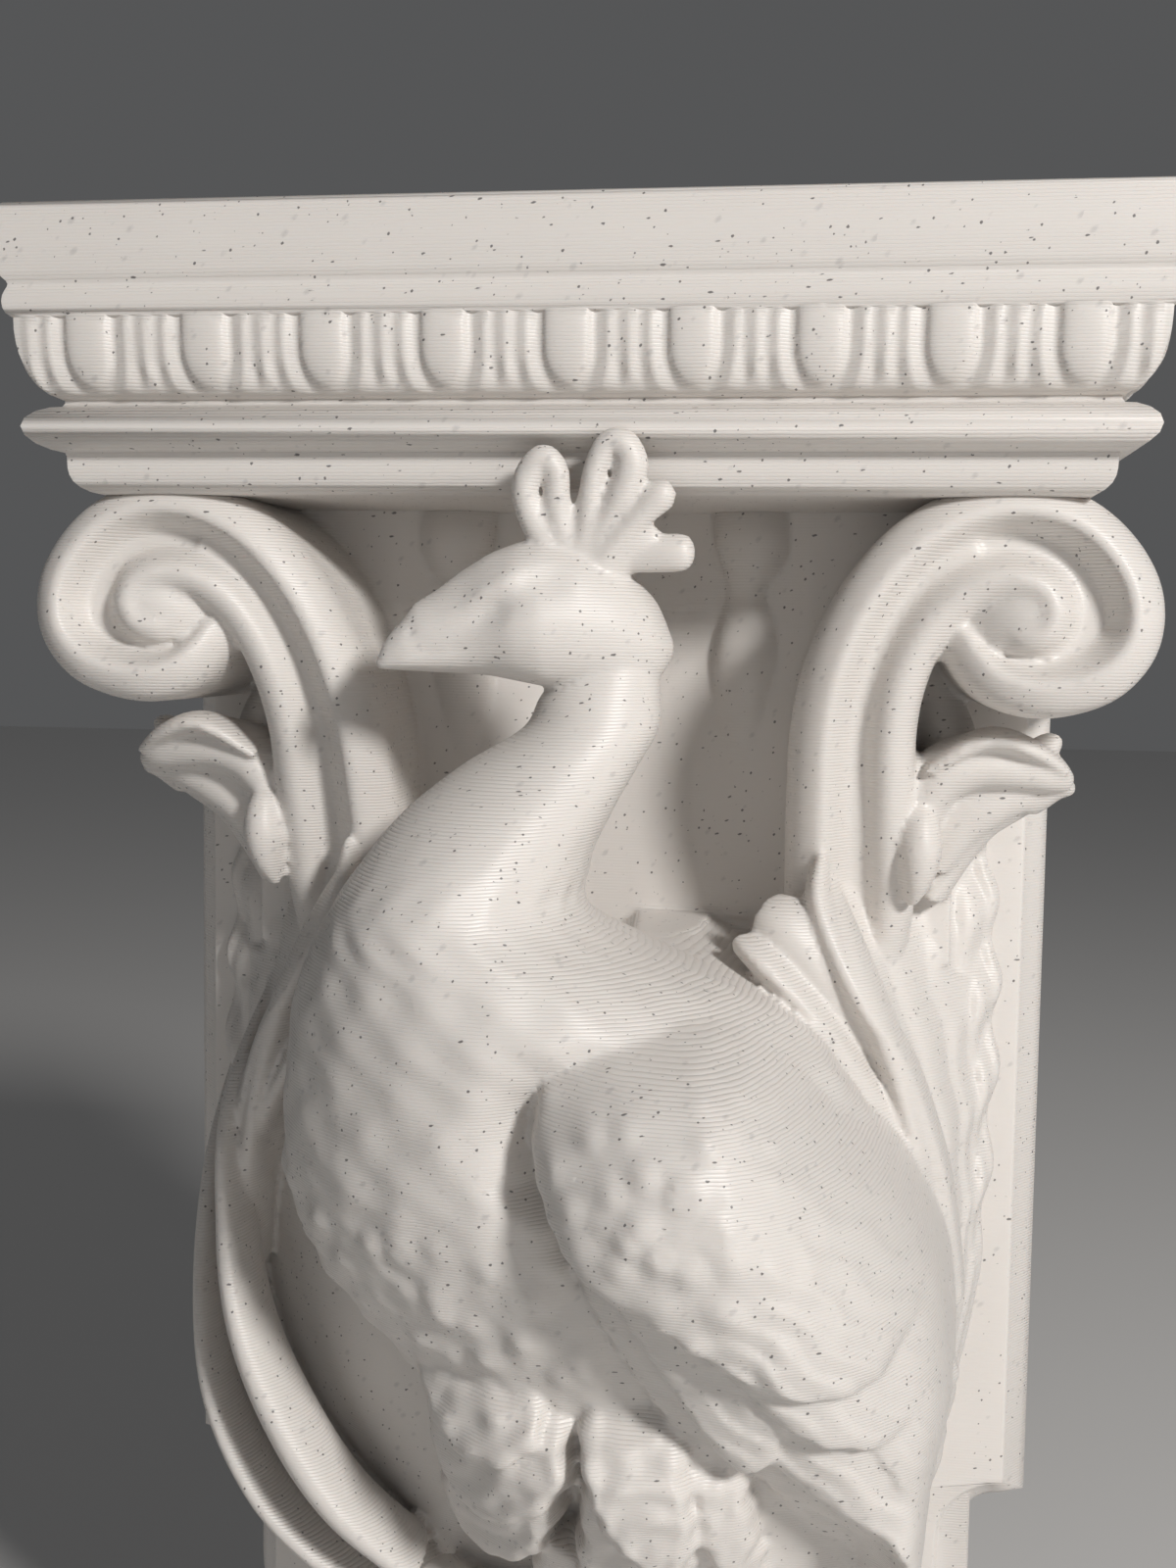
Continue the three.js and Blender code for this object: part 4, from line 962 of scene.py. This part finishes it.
# Height of the printed layers in metres
def layerGroup():
    group, given, result = newGroup("printLayers", [("Position", "Vector")], "Height")

    def times(first, second):
        return mathNode(group, "MULTIPLY", first, second)

    def minus(first, second):
        return mathNode(group, "SUBTRACT", first, second)

    position = given["Position"]
    level = addNode(group, "SeparateXYZ", {0: position}).outputs["Z"]
    geometry = addNode(group, "NewGeometry")
    normal = addNode(group, "SeparateXYZ", {0: geometry.outputs["Normal"]}).outputs
    noise = addNode(group, "TexNoise", {"Vector": position, "Scale": layers["wobbleScale"], "Detail": 1})
    shift = times(minus(noise.outputs["Fac"], 0.5), layers["wobble"])
    turns = mathNode(group, "ADD", mathNode(group, "DIVIDE", level, layers["pitch"]), shift)
    part = mathNode(group, "FRACT", turns)
    # a round bead: highest in the middle of the layer, a narrow valley between layers
    middle = times(minus(part, 0.5), 2)
    rounded = mathNode(group, "SQRT", minus(1.0, times(times(middle, middle), layers["valley"])))
    flat = times(normal["Z"], normal["Z"])
    upright = mathNode(group, "SQRT", mathNode(group, "MAXIMUM", minus(1.0, flat), 0.0))
    turned = minus(1.0, times(times(normal["Y"], normal["Y"]), layers["frontLoss"]))
    bead = times(times(times(rounded, upright), layers["bead"]), turned)
    step = times(minus(1.0, mathNode(group, "POWER", part, layers["stepPower"])), layers["step"])
    step = times(step, mathNode(group, "ABSOLUTE", normal["Z"]))
    feed(group, result["Height"], mathNode(group, "ADD", bead, step))
    return group


# spacing in metres, size and softness in shares of it, stretch and turn; sharp ones lie near the surface
flecks = {
    "sharp flecks": (0.00036, 0.21, 0.05, (1, 1, 0.6), (0.3, 0.2, 0.9)),
    "crossing flecks": (0.00047, 0.17, 0.045, (0.5, 1, 1), (0.9, 0.4, 0.2)),
    "deep flecks": (0.0008, 0.34, 0.2, (1, 1, 1), (0.1, 0.7, 0.3)),
}
# flecks lie along the layers, a little longer than high; few are large
fleckShape = {"lie": (0.72, 0.72, 1.25), "warpScale": 5.0, "warp": (0.22, 0.22, 0.22), "rarity": 1.6}


def fleckGroup():
    group, given, result = newGroup("plasticFlecks", [
        ("Position", "Vector"), ("Spacing", "Float"), ("Size", "Float"), ("Softness", "Float"),
    ], "Mask")
    scaled = addNode(group, "VectorMath", {0: given["Position"], 1: given["Spacing"]}, operation="DIVIDE")
    lying = addNode(group, "VectorMath", {0: scaled.outputs[0], 1: fleckShape["lie"]}, operation="MULTIPLY")
    lying = lying.outputs[0]
    warp = addNode(group, "TexNoise", {"Vector": lying, "Scale": fleckShape["warpScale"], "Detail": 2})
    bend = addNode(group, "VectorMath", {0: warp.outputs["Color"], 1: fleckShape["warp"], 2: lying},
                   operation="MULTIPLY_ADD")
    cells = addNode(group, "TexVoronoi", {"Vector": bend.outputs[0], "Scale": 1.0})
    pick = addNode(group, "SeparateColor", {0: cells.outputs["Color"]})
    chance = mathNode(group, "POWER", pick.outputs[0], fleckShape["rarity"])
    gap = mathNode(group, "SUBTRACT", mathNode(group, "MULTIPLY", chance, given["Size"]),
                   cells.outputs["Distance"])
    feed(group, result["Mask"], mathNode(group, "DIVIDE", gap, given["Softness"], clamp=True))
    return group


plastic = {
    "colour": (0.745, 0.71, 0.675, 1), "shade": (0.66, 0.63, 0.60, 1),
    "shadeShare": 0.45, "cloudScale": 160,
    "fleck": (0.055, 0.052, 0.055, 1), "fleckShare": 0.8, "deepFleck": (0.42, 0.405, 0.4, 1),
    "deepShare": 0.4,
    "roughness": 0.36, "roughSpread": 0.12, "grain": 0.000004, "grainScale": 2600,
    "glow": 0.16, "glowRadius": (1.0, 0.72, 0.55), "glowScale": 0.0012,
}


def makePlastic():
    material, tree, shader = newMaterial("marble_effect_plastic")

    def times(first, second):
        return mathNode(tree, "MULTIPLY", first, second)

    position = addNode(tree, "TexCoord").outputs["Object"]
    fleckTree = fleckGroup()
    masks = []
    for name, (spacing, size, softness, stretch, turn) in flecks.items():
        mapping = addNode(tree, "Mapping", {"Vector": position, "Scale": stretch, "Rotation": turn})
        values = {"Position": mapping.outputs[0], "Spacing": spacing, "Size": size, "Softness": softness}
        node = addNode(tree, "Group", values, node_tree=fleckTree, name=name)
        masks.append(node.outputs["Mask"])
    sharp = mathNode(tree, "MAXIMUM", masks[0], masks[1])
    clouds = addNode(tree, "TexNoise", {"Vector": position, "Scale": plastic["cloudScale"], "Detail": 3})
    cloud = clouds.outputs["Fac"]
    colour = mixColour(tree, times(cloud, plastic["shadeShare"]), plastic["colour"], plastic["shade"])
    colour = mixColour(tree, times(masks[2], plastic["deepShare"]), colour, plastic["deepFleck"])
    colour = mixColour(tree, times(sharp, plastic["fleckShare"]), colour, plastic["fleck"])

    layerNode = addNode(tree, "Group", {"Position": position}, node_tree=layerGroup())
    fine = addNode(tree, "TexNoise", {"Vector": position, "Scale": plastic["grainScale"], "Detail": 3})
    grain = times(fine.outputs["Fac"], plastic["grain"])
    height = mathNode(tree, "ADD", layerNode.outputs["Height"], grain)
    bump = addNode(tree, "Bump", {"Height": height, "Strength": 1.0, "Distance": 1.0})
    rough = mathNode(tree, "ADD", plastic["roughness"], times(cloud, plastic["roughSpread"]))
    for key, value in (("Base Color", colour), ("Roughness", rough), ("Normal", bump.outputs["Normal"]),
                       ("Subsurface Weight", plastic["glow"]), ("Subsurface Radius", plastic["glowRadius"]),
                       ("Subsurface Scale", plastic["glowScale"]), ("Specular IOR Level", 0.5)):
        feed(tree, shader.inputs[key], value)
    return material


corbel.data.materials.clear()
corbel.data.materials.append(makePlastic())
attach(corbel, "root")
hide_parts("corbel_shelf")
print("plastic on")


stage = {"floorZ": -0.0585, "floorSize": 3.0, "floorColour": (0.80, 0.79, 0.775, 1)}


def makeFloor():
    deselectAll()
    bpy.ops.mesh.primitive_plane_add(size=stage["floorSize"], location=(0, 0, stage["floorZ"]))
    floor = bpy.context.object
    floor.name = "pale_floor"
    material, _, shader = newMaterial("pale_floor")
    shader.inputs["Base Color"].default_value = stage["floorColour"]
    shader.inputs["Roughness"].default_value = 0.8
    floor.data.materials.append(material)


lightTarget = (0, -0.015, 0)
room = {"colour": (0.92, 0.93, 0.95, 1), "strength": 0.1}
lights = {
    "key": {"place": (0.27, -0.33, 0.225), "size": 0.07, "power": 1.85, "colour": (1.0, 0.975, 0.95)},
    "fill": {"place": (-0.04, -0.46, -0.03), "size": 0.32, "power": 0.11, "colour": (0.95, 0.97, 1.0)},
}


def makeLights():
    for name, values in lights.items():
        data = bpy.data.lights.new(name, "AREA")
        data.shape = "DISK"
        data.size = values["size"]
        data.energy = values["power"]
        data.color = values["colour"]
        lamp = bpy.data.objects.new(name, data)
        lamp.location = values["place"]
        aim = Vector(lightTarget) - Vector(values["place"])
        lamp.rotation_euler = aim.to_track_quat("-Z", "Y").to_euler()
        bpy.context.scene.collection.objects.link(lamp)
    world = bpy.data.worlds.new("pale_room")
    bpy.context.scene.world = world
    world.use_nodes = True
    background = next(n for n in world.node_tree.nodes if n.type == "BACKGROUND")
    background.inputs["Color"].default_value = room["colour"]
    background.inputs["Strength"].default_value = room["strength"]


# camera of the photograph in degrees, metres and pixels
view = {
    "yaw": 8.03, "pitch": 4.59, "roll": 0.81, "place": (0.0161, -0.127, 0.0312),
    "focalPixels": 1803, "heightPixels": 1600, "sensor": 36, "near": 0.005, "far": 20,
}


def makeCamera():
    yaw, pitch, roll = (math.radians(view[key]) for key in ("yaw", "pitch", "roll"))
    ahead = Vector((-math.sin(yaw) * math.cos(pitch), math.cos(yaw) * math.cos(pitch), -math.sin(pitch)))
    right = Vector((math.cos(yaw), math.sin(yaw), 0))
    up = right.cross(ahead)
    turnedRight = right * math.cos(roll) + up * math.sin(roll)
    turnedUp = -right * math.sin(roll) + up * math.cos(roll)
    data = bpy.data.cameras.new("photo_view")
    data.sensor_fit = "VERTICAL"
    data.sensor_height = view["sensor"]
    data.lens = view["focalPixels"] / view["heightPixels"] * view["sensor"]
    data.clip_start = view["near"]
    data.clip_end = view["far"]
    camera = bpy.data.objects.new("photo_view", data)
    turn = Matrix((turnedRight, turnedUp, -ahead)).transposed()
    camera.matrix_world = Matrix.Translation(Vector(view["place"])) @ turn.to_4x4()
    bpy.context.scene.collection.objects.link(camera)
    bpy.context.scene.camera = camera


makeFloor()
makeLights()
makeCamera()
bpy.context.scene.view_settings.view_transform = "Standard"
bpy.context.scene.view_settings.look = "None"
print("stage and camera set")
